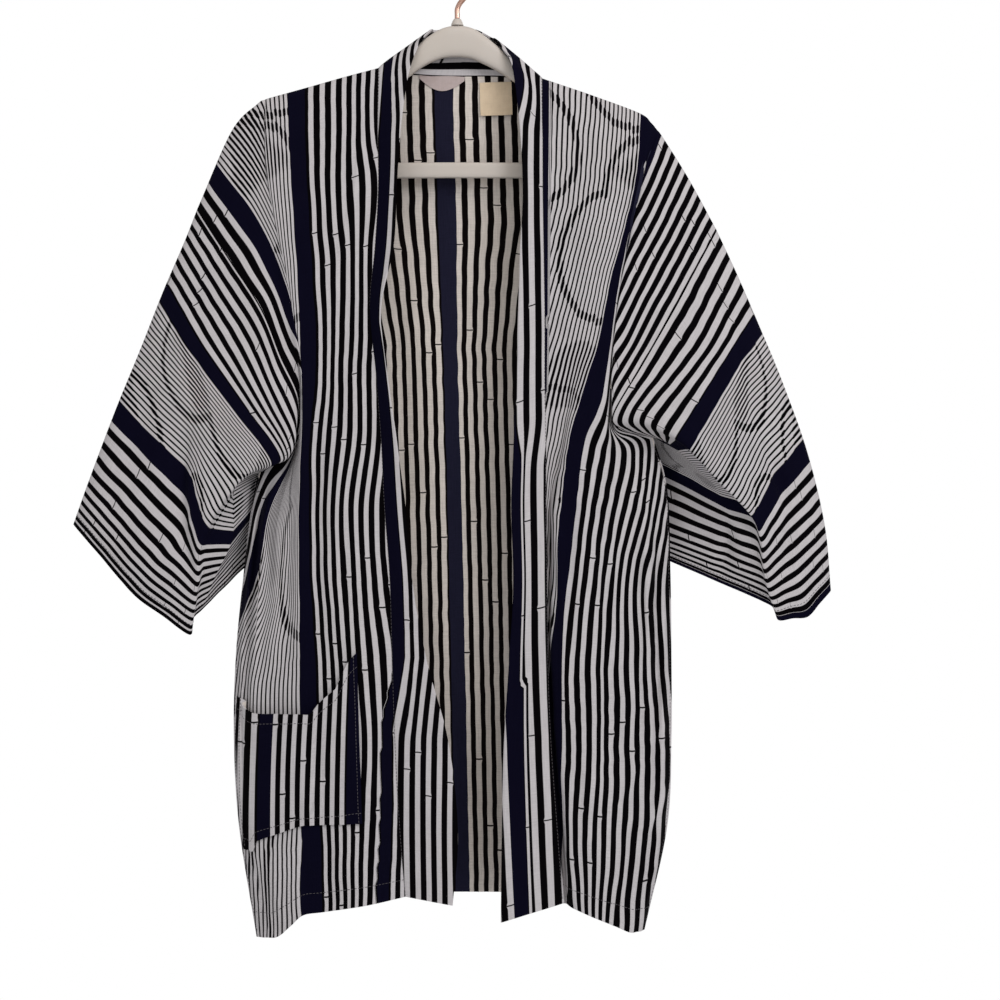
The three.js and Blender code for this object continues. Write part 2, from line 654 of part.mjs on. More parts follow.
// Finds the place on a near-upright sheet that stands at x and z
function nearestOnSheet(sheet, normals, x, z) {
  let column = (sheet[0].length - 1) / 2;
  let row = 3;
  for (let turn = 0; turn < 40; turn += 1) {
    const here = onSheet(sheet, normals, column, row);
    const right = onSheet(sheet, normals, column + 0.05, row).point.sub(here.point);
    const below = onSheet(sheet, normals, column, row + 0.05).point.sub(here.point);
    const dx = x - here.point.x;
    const dz = z - here.point.z;
    const det = right.x * below.z - below.x * right.z;
    column += 0.6 * 0.05 * (dx * below.z - below.x * dz) / det;
    row = Math.max(0, row + 0.6 * 0.05 * (right.x * dz - dx * right.z) / det);
  }
  return onSheet(sheet, normals, column, row);
}

// A bar swept along a path of centres with half-widths and half-heights, its ends flat
function sweptGeometry(sections, sides, boxiness) {
  const rings = sections.map((section, i) => {
    const before = sections[Math.max(i - 1, 0)].centre;
    const after = sections[Math.min(i + 1, sections.length - 1)].centre;
    const along = after.clone().sub(before).normalize();
    const upright = (section.upright ?? new THREE.Vector3(0, 0, 1)).clone();
    const wide = section.wide ?? new THREE.Vector3(0, 1, 0);
    if (!section.plumb) upright.crossVectors(along, wide).normalize();
    const ring = [];
    for (let k = 0; k < sides; k += 1) {
      const angle = 2 * Math.PI * (k + 0.5) / sides;
      const c = Math.cos(angle);
      const n = Math.sin(angle);
      const square = (value) => Math.sign(value) * Math.abs(value) ** boxiness;
      ring.push(section.centre.clone()
        .addScaledVector(wide, section.halfDepth * square(c))
        .addScaledVector(upright, section.halfHeight * square(n)));
    }
    return ring;
  });
  return cappedRings(rings);
}

function cappedRings(rings) {
  const sides = rings[0].length;
  const positions = [];
  for (const ring of rings) for (const p of ring) positions.push(p.x, p.y, p.z);
  const faces = [];
  for (let i = 0; i < rings.length - 1; i += 1) {
    for (let k = 0; k < sides; k += 1) {
      const next = (k + 1) % sides;
      const a = i * sides + k;
      const b = i * sides + next;
      faces.push(a, b, b + sides, a, b + sides, a + sides);
    }
  }
  const last = (rings.length - 1) * sides;
  for (let k = 1; k < sides - 1; k += 1) {
    faces.push(0, k + 1, k);
    faces.push(last, last + k, last + k + 1);
  }
  const geometry = new THREE.BufferGeometry();
  geometry.setAttribute('position', new THREE.Float32BufferAttribute(positions, 3));
  geometry.setIndex(faces);
  if (signedVolume(geometry) < 0) geometry.setIndex(flipped(faces));
  geometry.computeVertexNormals();
  return geometry;
}

// The hanger's arms: one sweep from tip to tip under the shoulder line
function hangerArms() {
  const sections = ARM_SECTIONS.map((row) => ({
    centre: new THREE.Vector3(row.x, 0, -(row.top + row.bottom) / 2),
    halfDepth: row.halfDepth,
    halfHeight: (row.bottom - row.top) / 2,
    plumb: true,
  }));
  return namedMesh('hanger_arms', sweptGeometry(sections, 14, 0.85), hangerPlastic);
}

// The trouser bar, bent up at both ends to just under the arms' tips
function hangerBar() {
  const corners = BAR_PATH.map((p) => new THREE.Vector3(p.x, 0, -p.drop));
  const path = new THREE.CatmullRomCurve3(corners, false, 'centripetal');
  const sections = path.getSpacedPoints(BAR_SPANS).map((centre) => ({
    centre, halfDepth: BAR_DEPTH / 2, halfHeight: BAR_HEIGHT / 2,
  }));
  const taper = (f) => 0.55 + 0.45 * Math.min(1, Math.min(f, 1 - f) / 0.12);
  sections.forEach((section, i) => { section.halfHeight *= taper(i / BAR_SPANS); });
  return namedMesh('hanger_bar', sweptGeometry(sections, 10, 0.6), hangerPlastic);
}

// The hook: a stem, a short sweep sideways and an open arc over the origin
function hangerHook() {
  const path = [];
  const centreZ = HOOK_WIRE / 2 - HOOK_RADIUS;
  for (let k = 0; k <= 24; k += 1) {
    const angle = (HOOK_OPEN_ANGLE - k * (HOOK_OPEN_ANGLE - HOOK_TURN_ANGLE) / 24) * Math.PI / 180;
    path.push(new THREE.Vector3(HOOK_RADIUS * Math.cos(angle), 0,
      centreZ + HOOK_RADIUS * Math.sin(angle)));
  }
  path.push(new THREE.Vector3(2.5, 0, -41));
  path.push(new THREE.Vector3(0, 0, -47));
  path.push(new THREE.Vector3(0, 0, -52));
  path.push(new THREE.Vector3(0, 0, -NECK_TOP_DROP + SEAM_GAP));
  const curve = new THREE.CatmullRomCurve3(path, false, 'centripetal');
  const sections = curve.getSpacedPoints(28).map((centre) => ({
    centre, halfDepth: HOOK_WIRE / 2, halfHeight: HOOK_WIRE / 2,
  }));
  return namedMesh('hanger_hook', sweptGeometry(sections, 10, 1), hookMetal);
}

function hangerNeck() {
  const profile = [
    [0, -NECK_FOOT_DROP], [6, -NECK_FOOT_DROP], [5.6, -NECK_FOOT_DROP + 2],
    [4.2, -NECK_TOP_DROP - 1], [3.4, -NECK_TOP_DROP], [0, -NECK_TOP_DROP],
  ].map(([r, z]) => new THREE.Vector2(r, z));
  const geometry = new THREE.LatheGeometry(profile, 20);
  geometry.rotateX(Math.PI / 2);
  return namedMesh('hanger_neck', geometry, hangerPlastic);
}

// Materials
const cotton = (color) => new THREE.MeshStandardMaterial({ color, roughness: 0.85, metalness: 0 });
const stripedCotton = cotton(0x6f6a72);
const collarCotton = cotton(0x2b2a3c);
const hangerPlastic = new THREE.MeshStandardMaterial({ color: 0xc9c0b4, roughness: 0.45, metalness: 0 });
const hookMetal = new THREE.MeshStandardMaterial({ color: 0xc08a72, roughness: 0.3, metalness: 0.9 });

// Cloth sheets
const rightSleeve = sleeveGrid(-1, RIGHT_SLEEVE);
const leftSleeve = sleeveGrid(1, LEFT_SLEEVE);
const underarmIndex = DOWN_STATIONS.indexOf(UNDERARM);
const ringLength = rightSleeve[0].length;
const frontArmhole = (ring) => ring.slice(0, underarmIndex + 1);
const backArmhole = (ring) => DOWN_STATIONS.slice(0, underarmIndex + 1)
  .map((_, i) => ring[(ringLength - i) % ringLength]);

const rightHalf = {
  side: -1, body: RIGHT_BODY, shoulder: RIGHT_SHOULDER, corner: RIGHT_CORNER,
  seamSide: RIGHT_SIDE, sleeve: RIGHT_SLEEVE,
};
const leftHalf = {
  side: 1, body: LEFT_BODY, shoulder: LEFT_SHOULDER, corner: LEFT_CORNER,
  seamSide: LEFT_SIDE, sleeve: LEFT_SLEEVE,
};
const rightFront = halfGrid(rightHalf, 'front', RIGHT_FRONT_FOLDS, frontArmhole(rightSleeve[0]));
const leftFront = halfGrid(leftHalf, 'front', LEFT_FRONT_FOLDS, frontArmhole(leftSleeve[0]));
const rightBack = halfGrid(rightHalf, 'back', BACK_FOLDS, backArmhole(rightSleeve[0]));
const leftBack = halfGrid(leftHalf, 'back', BACK_FOLDS, backArmhole(leftSleeve[0]));
const back = backGrid(rightBack, leftBack);
// The collar is two bands joined at the centre back
const collar = collarGrid(rightFront, leftFront, back);
const collarMiddle = (collar.length - 1) / 2;

const sheets = [
  { name: 'front_right', grid: rightFront, closed: false, flip: false, thickness: CLOTH },
  { name: 'front_left', grid: leftFront, closed: false, flip: true, thickness: CLOTH },
  { name: 'back_panel', grid: back, closed: false, flip: false, thickness: CLOTH },
  { name: 'sleeve_right', grid: rightSleeve, closed: true, flip: true, thickness: CLOTH },
  { name: 'sleeve_left', grid: leftSleeve, closed: true, flip: false, thickness: CLOTH },
  { name: 'collar_right', grid: collar.slice(0, collarMiddle + 1), closed: false, flip: false,
    thickness: COLLAR_CLOTH },
  { name: 'collar_left', grid: collar.slice(collarMiddle).map((row) => row.map((p) => p.clone())),
    closed: false, flip: false, thickness: COLLAR_CLOTH },
].map((sheet) => ({
  ...sheet, material: sheet.thickness === COLLAR_CLOTH ? collarCotton : stripedCotton,
}));
joinSheets(sheets);

const labelCloth = new THREE.MeshStandardMaterial({ color: 0xd8cbb8, roughness: 0.8, metalness: 0 });
const frontSheet = sheets[0];
const backSheet = sheets[2];

const coat = new THREE.Group();
for (const sheet of sheets) coat.add(sheetMesh(sheet));
coat.add(pocketMesh(frontSheet.grid, frontSheet.normals));
coat.add(labelMesh('neck_label', NECK_LABEL, backSheet.grid, backSheet.normals, labelCloth));
coat.add(labelMesh('care_label', CARE_LABEL, backSheet.grid, backSheet.normals, labelCloth));
coat.add(hangerArms(), hangerBar(), hangerNeck(), hangerHook());

export default coat;
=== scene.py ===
"""A striped happi coat on its hanger, dressed as a set of Blender operators.

Left and right are as worn: the coat's right side is at -X and its front faces -Y.
Guide tables are in millimetres and objects in metres. "out" is the distance sideways from
the hook's line, "drop" the distance below the origin inside the hook, and "fore" the
distance in front of the hanger's plane.
"""

import functools
import math

import bmesh
import bpy
import mathutils
import numpy as np
from bpy.props import FloatProperty, FloatVectorProperty, PointerProperty
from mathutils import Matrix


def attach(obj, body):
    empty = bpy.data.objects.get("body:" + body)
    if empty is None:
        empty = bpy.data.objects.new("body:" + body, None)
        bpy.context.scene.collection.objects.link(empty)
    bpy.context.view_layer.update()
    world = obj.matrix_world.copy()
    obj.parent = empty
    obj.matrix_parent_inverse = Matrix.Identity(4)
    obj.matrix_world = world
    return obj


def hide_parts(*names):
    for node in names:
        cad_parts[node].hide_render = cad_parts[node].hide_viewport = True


bl_info = {
    "name": "Happi Coat",
    "version": (1, 0, 0),
    "blender": (4, 5, 0),
    "location": "View3D > Sidebar > Happi Coat",
    "description": "Dresses the packed coat: printed cotton, creases, stitches and hanger",
    "category": "Object",
}

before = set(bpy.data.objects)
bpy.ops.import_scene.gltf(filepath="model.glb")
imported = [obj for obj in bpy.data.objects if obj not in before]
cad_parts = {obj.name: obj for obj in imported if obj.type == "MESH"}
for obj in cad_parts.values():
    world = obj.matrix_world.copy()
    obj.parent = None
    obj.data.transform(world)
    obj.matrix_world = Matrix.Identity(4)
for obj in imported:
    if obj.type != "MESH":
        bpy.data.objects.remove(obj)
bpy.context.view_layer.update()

MM = 0.001
UNDERARM = 6
HEM = 12
SIDE_GUIDES = 7
CLOTH = 1.6
COLLAR_CLOTH = 2.4
SHOULDER_ROUNDNESS = 0.36
NECK_ROUNDNESS = 0.27
SIDE_FULLNESS = 4
COLLAR_BACK_DROP = 62
COLLAR_BACK_AFT = 12
CLOTH_MAP = "Cloth"
BAR_DEPTH = 7
HOOK_RADIUS = 19
HOOK_OPEN_ANGLE = 205
HOOK_TURN_ANGLE = -55
SWEEP_RINGS = 161
NECK_TOP_DROP = 56
NECK_FOOT_DROP = 62.3
SHARP_ANGLE = 40

# Millimetres along the print for one station of the body and for one guide of a sleeve
STATION_RUN = 66
GUIDE_RUN = 65

# The print: canes of white above black, fine lines, and joints along each cane
CANE_PITCH = 12.7
LINE_PITCH = 4.7
CANE_WIDTHS = {
    "front_right": 5.6, "front_left": 5.7, "back_panel": 6.7, "sleeve_right": 6.8, "sleeve_left": 6.7,
    "collar_right": 6.0, "collar_left": 6.2, "pocket": 6.0,
}
JOINT_PITCH = 205.0

# The collar band's section, the pocket and the labels
BAND_SHARES = np.array([0, 0.02, 0.06, 0.15, 0.3, 0.45, 0.6, 0.75, 0.88, 0.96, 0.985, 1.0])
BAND_LIFT = ([0, 0.02, 0.06, 0.3, 0.7, 0.96, 0.985, 1.0], [-0.3, 0.7, 1.1, 1.3, 1.2, 0.8, 0.4, -0.3])
SEAM_LAP = 1.6
POCKET_GAP = 0.9
POCKET_GAPE = 8
POCKET_COLUMNS = 61
POCKET_ROWS = 49
POCKET_SEAM_ROWS = (45, 4)
POCKET_SEAM_COLUMNS = (2, 58)
LABEL_GAP = 0.5
LABEL_CLOTH = 0.8

# The stitched lines: rows above the hem, the cuff's column, and the side seam's first row and
# columns from the edge
HEM_INSET = 3
CUFF_COLUMN = 96
SIDE_SEAM_START = 82
SIDE_SEAM_INSET = 3

# A stitch: shares of its length and girth along it, its sides and how much wider than high it is
THREAD_PROFILE = np.array([[-0.5, 0.25], [-0.38, 0.85], [0, 1], [0.38, 0.85], [0.5, 0.25]])
THREAD_SIDES = 6
THREAD_BREADTH = 1.2
THREAD_LIFT = 0.05

# The low waviness: its waves, the shortest and the longest, how far they lean, how much longer
# they swell, and the level that one size stands for. The collar has less of it
RUMPLE_WAVES = 14
RUMPLE_LENGTHS = (16, 75)
RUMPLE_LEAN = 0.5
RUMPLE_SWELL = 2.1
RUMPLE_LEVEL = 5
COLLAR_RUMPLE = 0.5

# Seeds of the random draws, and how far the seed of a print's stray lies from its sheet's
SEEDS = {
    "front_right": 11, "front_left": 21, "back_panel": 31, "sleeve_right": 41, "sleeve_left": 51,
    "collar": 77,
}
STRAY_SEED = 50

# The studio: the camera's distance and the surround's light
CAMERA_AWAY = 2.2
WORLD_LIGHT = 0.42

# The photograph's frame: millimetres for a pixel, and the pixel above the origin
PIXEL = 0.96
ORIGIN_PX = 457
ORIGIN_PY = -42.6


def table(columns, rows):
    """Rows of numbers as rows with named columns."""
    return [dict(zip(columns, row)) for row in rows]


# The lamps: where each is, what it is aimed at, its width in metres, its watts and its tint
LIGHTS = table(["name", "place", "aim", "width", "watts", "tint"], [
    ["key_light", (1.5, -1.9, 0.7), (0, 0, -0.42), 1.3, 26, (1, 0.99, 1)],
    ["fill_light", (-1.6, -2.2, 0.0), (0, 0, -0.5), 1.8, 7, (0.97, 0.98, 1)],
    ["warm_light", (0.1, -0.9, 0.9), (0, 0, -0.25), 0.9, 3, (1, 0.86, 0.74)],
    ["back_light", (0.5, 2.4, 0.4), (0, 0, -0.45), 1.8, 16, (1, 1, 1)],
])

# Body guides at stations 1 to 12, from the shoulder to the hem
BODY_COLUMNS = [
    "seamOut", "seamDrop", "seamFore", "pleatOut", "pleatFore", "bandOut",
    "innerOut", "innerDrop", "outerOut", "outerDrop", "chestFore", "outerFore", "tuck",
]
RIGHT_BODY = table(BODY_COLUMNS, [
    [75, 163, 16, 109, 17, 144, 182, 190, 180, 206, 18, 18, 4],
    [74, 217, 20, 108, 22, 141, 174, 245, 168, 271, 23, 24, 9],
    [77, 277, 22, 107, 24, 135, 163, 305, 157, 340, 26, 27, 13],
    [82, 338, 23, 107, 25, 131, 154, 367, 148, 398, 27, 28, 15],
    [76, 401, 24, 103, 26, 129, 148, 420, 149, 449, 28, 16, 15],
    [71, 463, 25, 101, 27, 131, 148, 468, 162, 484, 27, 6, 10],
    [68, 526, 25, 100, 28, 135, 151, 529, 180, 532, 27, 14, 7],
    [63, 593, 25, 96, 28, 132, 150, 596, 187, 600, 27, 18, 6],
    [61, 670, 24, 95, 28, 132, 149, 670, 191, 673, 27, 19, 5],
    [59, 747, 22, 93, 28, 132, 148, 749, 193, 753, 26, 19, 4],
    [55, 828, 18, 90, 28, 130, 147, 832, 192, 838, 26, 18, 4],
    [49, 902, 13, 85, 28, 127, 147, 918, 172, 940, 25, 16, 3],
])
LEFT_BODY = table(BODY_COLUMNS, [
    [81, 172, 16, 129, 17, 172, 178, 205, 180, 217, 18, 18, 3],
    [81, 227, 20, 125, 22, 162, 168, 254, 166, 271, 23, 24, 7],
    [82, 287, 22, 118, 24, 146, 156, 315, 154, 334, 26, 27, 12],
    [83, 348, 23, 111, 25, 135, 149, 372, 148, 391, 27, 28, 15],
    [83, 410, 24, 105, 23, 118, 143, 430, 149, 446, 28, 14, 15],
    [84, 463, 25, 99, 19, 108, 140, 473, 164, 471, 27, 6, 10],
    [84, 521, 25, 90, 16, 100, 138, 529, 176, 526, 27, 14, 7],
    [85, 593, 25, 90, 14, 96, 139, 600, 179, 598, 27, 18, 6],
    [86, 670, 24, 90, 13, 95, 141, 676, 180, 676, 27, 19, 5],
    [89, 747, 24, 93, 13, 99, 143, 753, 180, 753, 27, 19, 5],
    [95, 828, 23, 99, 13, 107, 145, 836, 178, 838, 26, 18, 5],
    [101, 907, 22, 106, 13, 114, 143, 925, 166, 936, 25, 16, 4],
])

# The shoulder line, its rounded corner at stations 1 to 3, and the side seam
LINE_COLUMNS = ["out", "drop"]
RIGHT_SHOULDER = table(LINE_COLUMNS, [
    [75, 103], [109, 112], [144, 122], [180, 132], [186, 134], [193, 138], [218, 164],
])
LEFT_SHOULDER = table(LINE_COLUMNS, [
    [81, 113], [131, 130], [176, 147], [187, 156], [193, 163], [199, 171], [224, 211],
])
RIGHT_CORNER = table(LINE_COLUMNS, [[195, 244], [175, 302], [161, 361]])
LEFT_CORNER = table(LINE_COLUMNS, [[202, 262], [181, 314], [164, 367]])
RIGHT_SIDE = table(LINE_COLUMNS, [
    [199, 529], [207, 596], [214, 670], [216, 749], [211, 836], [194, 943],
])
LEFT_SIDE = table(LINE_COLUMNS, [
    [203, 511], [206, 588], [207, 670], [207, 751], [203, 836], [181, 936],
])

# Sleeve rings from the armhole to the cuff
SLEEVE_COLUMNS = [
    "foldOut", "foldDrop", "creaseOut", "creaseDrop", "lowOut", "lowDrop",
    "underOut", "underDrop", "reachOut", "reachDrop",
    "creaseFore", "lowFore", "underFore", "reachAft",
]
RIGHT_SLEEVE = table(SLEEVE_COLUMNS, [
    [251, 239, 187, 337, 151, 425, 191, 490, 165, 440, 24, 22, 0, 24],
    [264, 272, 202, 372, 157, 468, 199, 492, 170, 455, 24, 30, 2, 26],
    [284, 319, 247, 379, 173, 479, 206, 498, 171, 470, 22, 30, 4, 28],
    [307, 377, 257, 429, 205, 496, 215, 508, 172, 484, 20, 30, 8, 30],
    [330, 433, 259, 504, 243, 552, 216, 557, 178, 502, 22, 28, 12, 32],
    [356, 502, 287, 576, 250, 609, 233, 595, 183, 529, 22, 22, 10, 33],
    [371, 544, 309, 613, 256, 650, 246, 627, 187, 564, 16, 20, 8, 34],
])
LEFT_SLEEVE = table(SLEEVE_COLUMNS, [
    [250, 259, 206, 340, 149, 440, 190, 461, 165, 425, 24, 22, 0, 24],
    [270, 302, 233, 372, 180, 442, 197, 463, 172, 439, 24, 28, 2, 26],
    [291, 351, 267, 384, 218, 464, 209, 470, 177, 449, 22, 30, 4, 28],
    [313, 404, 283, 439, 249, 500, 235, 494, 178, 463, 22, 30, 6, 30],
    [338, 474, 308, 508, 286, 544, 257, 523, 178, 478, 20, 28, 10, 32],
    [355, 545, 323, 575, 296, 596, 278, 580, 176, 540, 18, 22, 10, 34],
    [361, 608, 337, 633, 308, 636, 291, 617, 174, 566, 14, 18, 8, 35],
])

# The collar band's free edge
FREE_EDGE_COLUMNS = ["station", "out", "drop", "fore"]
RIGHT_FREE_EDGE = table(FREE_EDGE_COLUMNS, [
    [0, 24, 65, -2], [0.2, 35, 79, 8], [0.5, 46, 110, 17], [1, 53, 161, 26],
    [2, 57, 218, 31], [3, 60, 277, 32], [4, 72, 340, 32], [5, 66, 402, 32],
    [6, 57, 465, 32], [7, 49, 529, 31], [8, 43, 596, 30], [9, 29, 672, 28],
    [10, 8, 751, 26], [11, -1, 838, 24], [12, 4, 909, 22],
])
LEFT_FREE_EDGE = table(FREE_EDGE_COLUMNS, [
    [0, 35, 73.5, -2], [0.2, 44, 86, 8.5], [0.5, 53, 104, 17], [1, 60, 161, 26],
    [2, 63, 228, 31], [3, 60, 292, 32], [4, 58, 358, 32], [5, 56, 420, 32],
    [6, 54, 473, 32], [7, 52, 529, 31], [8, 54, 603, 30], [9, 50, 674, 29],
    [10, 45, 753, 28], [11, 43, 838, 26], [12, 42, 925, 24],
])

BACK_CENTRE_DROPS = [109, 165, 222, 281, 343, 405, 463, 522, 590, 665, 742, 820, 903]
BACK_AFTS = [13, 16, 19, 20, 21, 21, 21, 22, 22, 22, 22, 22, 22]

# Soft folds: guide number across, lean, station range down, width and height
FOLD_COLUMNS = ["place", "lean", "from", "to", "width", "height"]
RIGHT_FRONT_FOLDS = table(FOLD_COLUMNS, [
    [1.2, 0.2, 5, 13, 0.45, 3],
    [2.1, -0.3, 6, 12, 0.4, -3],
    [5.2, 0.2, 6.2, 10, 0.35, 6],
    [5.9, 0.2, 6.4, 11, 0.3, -6],
    [6.4, 0.1, 7, 13, 0.3, 5],
])
LEFT_FRONT_FOLDS = table(FOLD_COLUMNS, [
    [2.6, 0.3, 6, 13, 0.35, 5],
    [3.4, 0.5, 6.5, 13, 0.4, -4],
    [5.1, 0.4, 6.5, 12, 0.4, 5],
    [5.9, -0.3, 7, 13, 0.3, -5],
    [6.4, 0.1, 8, 13, 0.25, 4],
])
BACK_FOLDS = table(FOLD_COLUMNS, [
    [0.8, 0.3, 3, 13, 0.5, 5],
    [1.9, -0.2, 5, 13, 0.45, -5],
    [2.9, 0.3, 4, 13, 0.5, 6],
    [4.6, 0.4, 6, 13, 0.5, -6],
    [5.8, -0.2, 6.5, 13, 0.35, 5],
])

# The hanger
ARM_SECTIONS = table(["x", "top", "bottom", "halfDepth"], [
    [-184.5, 143.5, 147, 1.6], [-183, 140.5, 150, 3], [-179, 137, 151.2, 4],
    [-172, 133.8, 150.5, 4.4], [-144, 124.8, 143.5, 4.6], [-109, 114.8, 136, 4.8],
    [-74, 106, 129, 5], [-50, 91.5, 114.5, 5.5], [-36, 79.5, 104, 6], [-23, 69.8, 97, 6],
    [-12, 64.5, 93.5, 6], [0, 62.6, 92.7, 6], [12, 64.3, 94, 6], [22, 69.2, 98, 6],
    [37, 81, 105.5, 5.6], [56, 98.5, 117.7, 5.2], [81, 117.2, 136, 4.8], [109, 125.6, 144, 4.6],
    [131, 133.2, 151, 4.8], [160, 144, 159.5, 4.5], [172, 149.5, 163.2, 4.2],
    [179, 155, 164.2, 3.4], [182, 158.5, 163.5, 2.4], [184, 160.5, 162.7, 1.4],
])
BAR_PATH = table(["x", "drop"], [
    [-177.6, 151.7], [-178, 158], [-181.5, 168], [-182.2, 178], [-175, 193], [-160, 200.5],
    [-140, 202.2], [0, 202.2], [130, 202.2], [150, 200.8], [166, 194], [175.5, 184],
    [177, 177], [175.9, 170], [175.7, 164.7],
])

# The pocket from beside the collar to the side: places across the front, and the
# stations of its mouth and bottom
POCKET_EDGE = table(["place", "mouth", "bottom"], [
    [1, 8.95, 11], [1.25, 9.1, 11], [1.5, 9.4, 11], [2, 9.6, 11], [2.5, 9.7, 11], [3, 9.7, 11],
    [4, 9.68, 11.05], [5, 9.65, 11.1], [5.5, 9.6, 11.2], [6, 9.55, 11.2], [6.5, 9.5, 11.2],
])

# The labels: the middle of the top edge, the size, the droop of the lower edge and the tilt
NECK_LABEL = {"x": -15, "z": -108.5, "width": 44, "height": 4, "bow": 11, "tilt": 0.06, "curl": 0}
CARE_LABEL = {"x": 37, "z": -115, "width": 31, "height": 32, "bow": 0, "tilt": -0.03, "curl": 2.5}

# A label's mesh, and the search for its place on the back: the first row, the last and the rounds
LABEL_SPANS = 24
LABEL_FIRST_ROW = 12
LABEL_LAST_ROW = 40
LABEL_ROUNDS = 12

# Where each print coordinate lies: rows are stations, columns are guides
PRINT_COLUMNS = ["seam", "pleat", "band", "inner", "outer", "edge"]
RIGHT_PRINT = table(PRINT_COLUMNS, [
    [53, 100, 141, 180, 194, 302], [52, 101, 143, 191, 215, 302], [62, 100, 143, 188, 238, 302],
    [59, 104, 140, 182, 262, 302], [66, 103, 140, 174, 287, 302], [57, 94, 136, 166, 298, 302],
    [50, 91, 131, 161, 278, 302], [38, 79, 134, 161, 262, 297], [35, 76, 131, 159, 250, 285],
    [45, 82, 139, 161, 215, 250], [44, 87, 143, 161, 210, 240], [40, 80, 143, 161, 208, 232],
    [32, 70, 141, 161, 185, 214],
])
LEFT_PRINT = table(PRINT_COLUMNS, [
    [92, 135, 187, 198, 208, 313], [92, 138, 187, 205, 207, 313], [94, 140, 187, 207, 222, 313],
    [108, 148, 187, 209, 245, 313], [125, 156, 187, 211, 272, 313], [142, 165, 187, 213, 280, 313],
    [151, 170, 190, 226, 258, 300], [162, 176, 187, 235, 285, 330], [174, 182, 190, 249, 316, 357],
    [184, 192, 199, 260, 314, 356], [196, 200, 204, 263, 312, 346], [203, 206, 216, 270, 312, 346],
    [209, 212, 220, 277, 308, 329],
])
RIGHT_CORNER_PRINT = 227
LEFT_CORNER_PRINT = 257
SLEEVE_PRINT_RIGHT = [302, 340, 392, 450, 508, 575, 640]
SLEEVE_PRINT_LEFT = [313, 350, 393, 450, 510, 575, 640]

# The printed bands: where each starts, what it is (0 broad stripes, 1 navy, 2 fine lines, 3 black) and where
# one of its white stripes starts. The right front's black band is not print but painted shade along its
# turned-back edge
BAND_COLUMNS = ["start", "kind", "white"]
RIGHT_BANDS = table(BAND_COLUMNS, [
    # Painted shade: the black band from -20 to 32 lies between the turned-back edge's print and the front's
    # own, so it shows only as a thin dark line along the fold. It stands for the fold's shadow and also
    # hides the jagged join
    [-100, 0, -39.5], [-33.5, 1, 0], [-20, 3, 0], [32, 0, 135], [143, 1, 0], [161, 2, 0],
    [259, 1, 0], [277, 0, 277], [360, 0, 277],
])
LEFT_BANDS = table(BAND_COLUMNS, [
    [-40, 1, 0], [92, 2, 0], [187, 1, 0], [205, 0, 205], [360, 0, 205],
])
RIGHT_SLEEVE_BANDS = table(BAND_COLUMNS, [
    [290, 3, 0], [303, 0, 375], [383, 1, 0], [401, 2, 0], [499, 1, 0], [517, 0, 517],
    [634, 3, 0], [680, 3, 0],
])
LEFT_SLEEVE_BANDS = table(BAND_COLUMNS, [
    [290, 3, 0], [314, 0, 376], [384, 1, 0], [402, 2, 0], [500, 1, 0], [518, 0, 518],
    [632, 1, 0], [680, 1, 0],
])
POCKET_BANDS = table(BAND_COLUMNS, [
    [-60, 0, -8], [0, 1, 0], [18, 0, 18], [115, 1, 0], [133, 0, 133], [200, 0, 133],
])
BACK_BANDS = table(BAND_COLUMNS, [
    [-330, 0, -252], [-244, 1, 0], [-226, 2, 0], [-128, 1, 0], [-110, 0, -17], [-9, 1, 0],
    [9, 0, 9], [110, 1, 0], [128, 2, 0], [226, 1, 0], [244, 0, 244], [330, 0, 244],
])
RIGHT_COLLAR_BANDS = table(BAND_COLUMNS, [
    [-60, 0, -7], [0.5, 1, 0], [11.5, 0, 13], [100, 0, 13],
])
LEFT_COLLAR_BANDS = table(BAND_COLUMNS, [
    [-30, 0, -3], [30, 1, 0], [48, 0, 48], [100, 0, 48],
])

# How the collars' print lies across the bands: distances from the seam and print places,
# and how far it has moved, by stations
RIGHT_COLLAR_PRINT = ([-10, 0, 11, 12.5, 17, 21, 24, 60], [-10, 0.5, 11.5, 13, 19, 25.7, 30, 75])
RIGHT_COLLAR_SHIFT = ([0, 1.2, 2.5, 9, 10, 11, 12], [-8, -2, 0, 0, 14, 19.4, 25.5])
LEFT_COLLAR_PRINT = ([-10, 0, 2.3, 15, 23, 23.5, 60], [-15, -5.3, -3, 9.7, 17.7, 30, 66])
LEFT_COLLAR_SHIFT = ([0, 10, 12], [0, 0, -6])

# Below these stations the right collar's print lies evenly, drawn out by a share, and the left
# one's follows its table. Round the neck both have moved
RIGHT_COLLAR_LOW = (9.5, 10.2)
RIGHT_COLLAR_STRETCH = 1.22
LEFT_COLLAR_LOW = (5.5, 6.5)
RIGHT_NECK_SHIFT = -20.7
LEFT_NECK_SHIFT = -29.4

# The right front's turned-back edge: where it starts, by stations, and its print's place and squeeze. Its
# place starts at the black band, which paints a thin line of shade along the fold. The left front's navy
# strip beside the collar, by stations
TURNED_EDGE = ([8.75, 8.8, 9.85], [0, 36, 60])
TURNED_PLACE = -20
TURNED_NAVY = 13.5
TURNED_SQUEEZE = 1.5
SEAM_STRIP = ([0, 3, 4, 5, 5.5], [7.5, 7.5, 4, 4, 0])
SEAM_STRIP_PLACE = 91.9

# The pocket's print by distance from the centre line, and how far it spreads at the mouth. The
# joints lie further along than on the front
POCKET_PRINT = ([94, 105.6, 178.6, 192, 204.5, 230], [133, 115, 18, 0, -13, -38.5])
POCKET_SPREAD = 4
POCKET_ALONG = 40

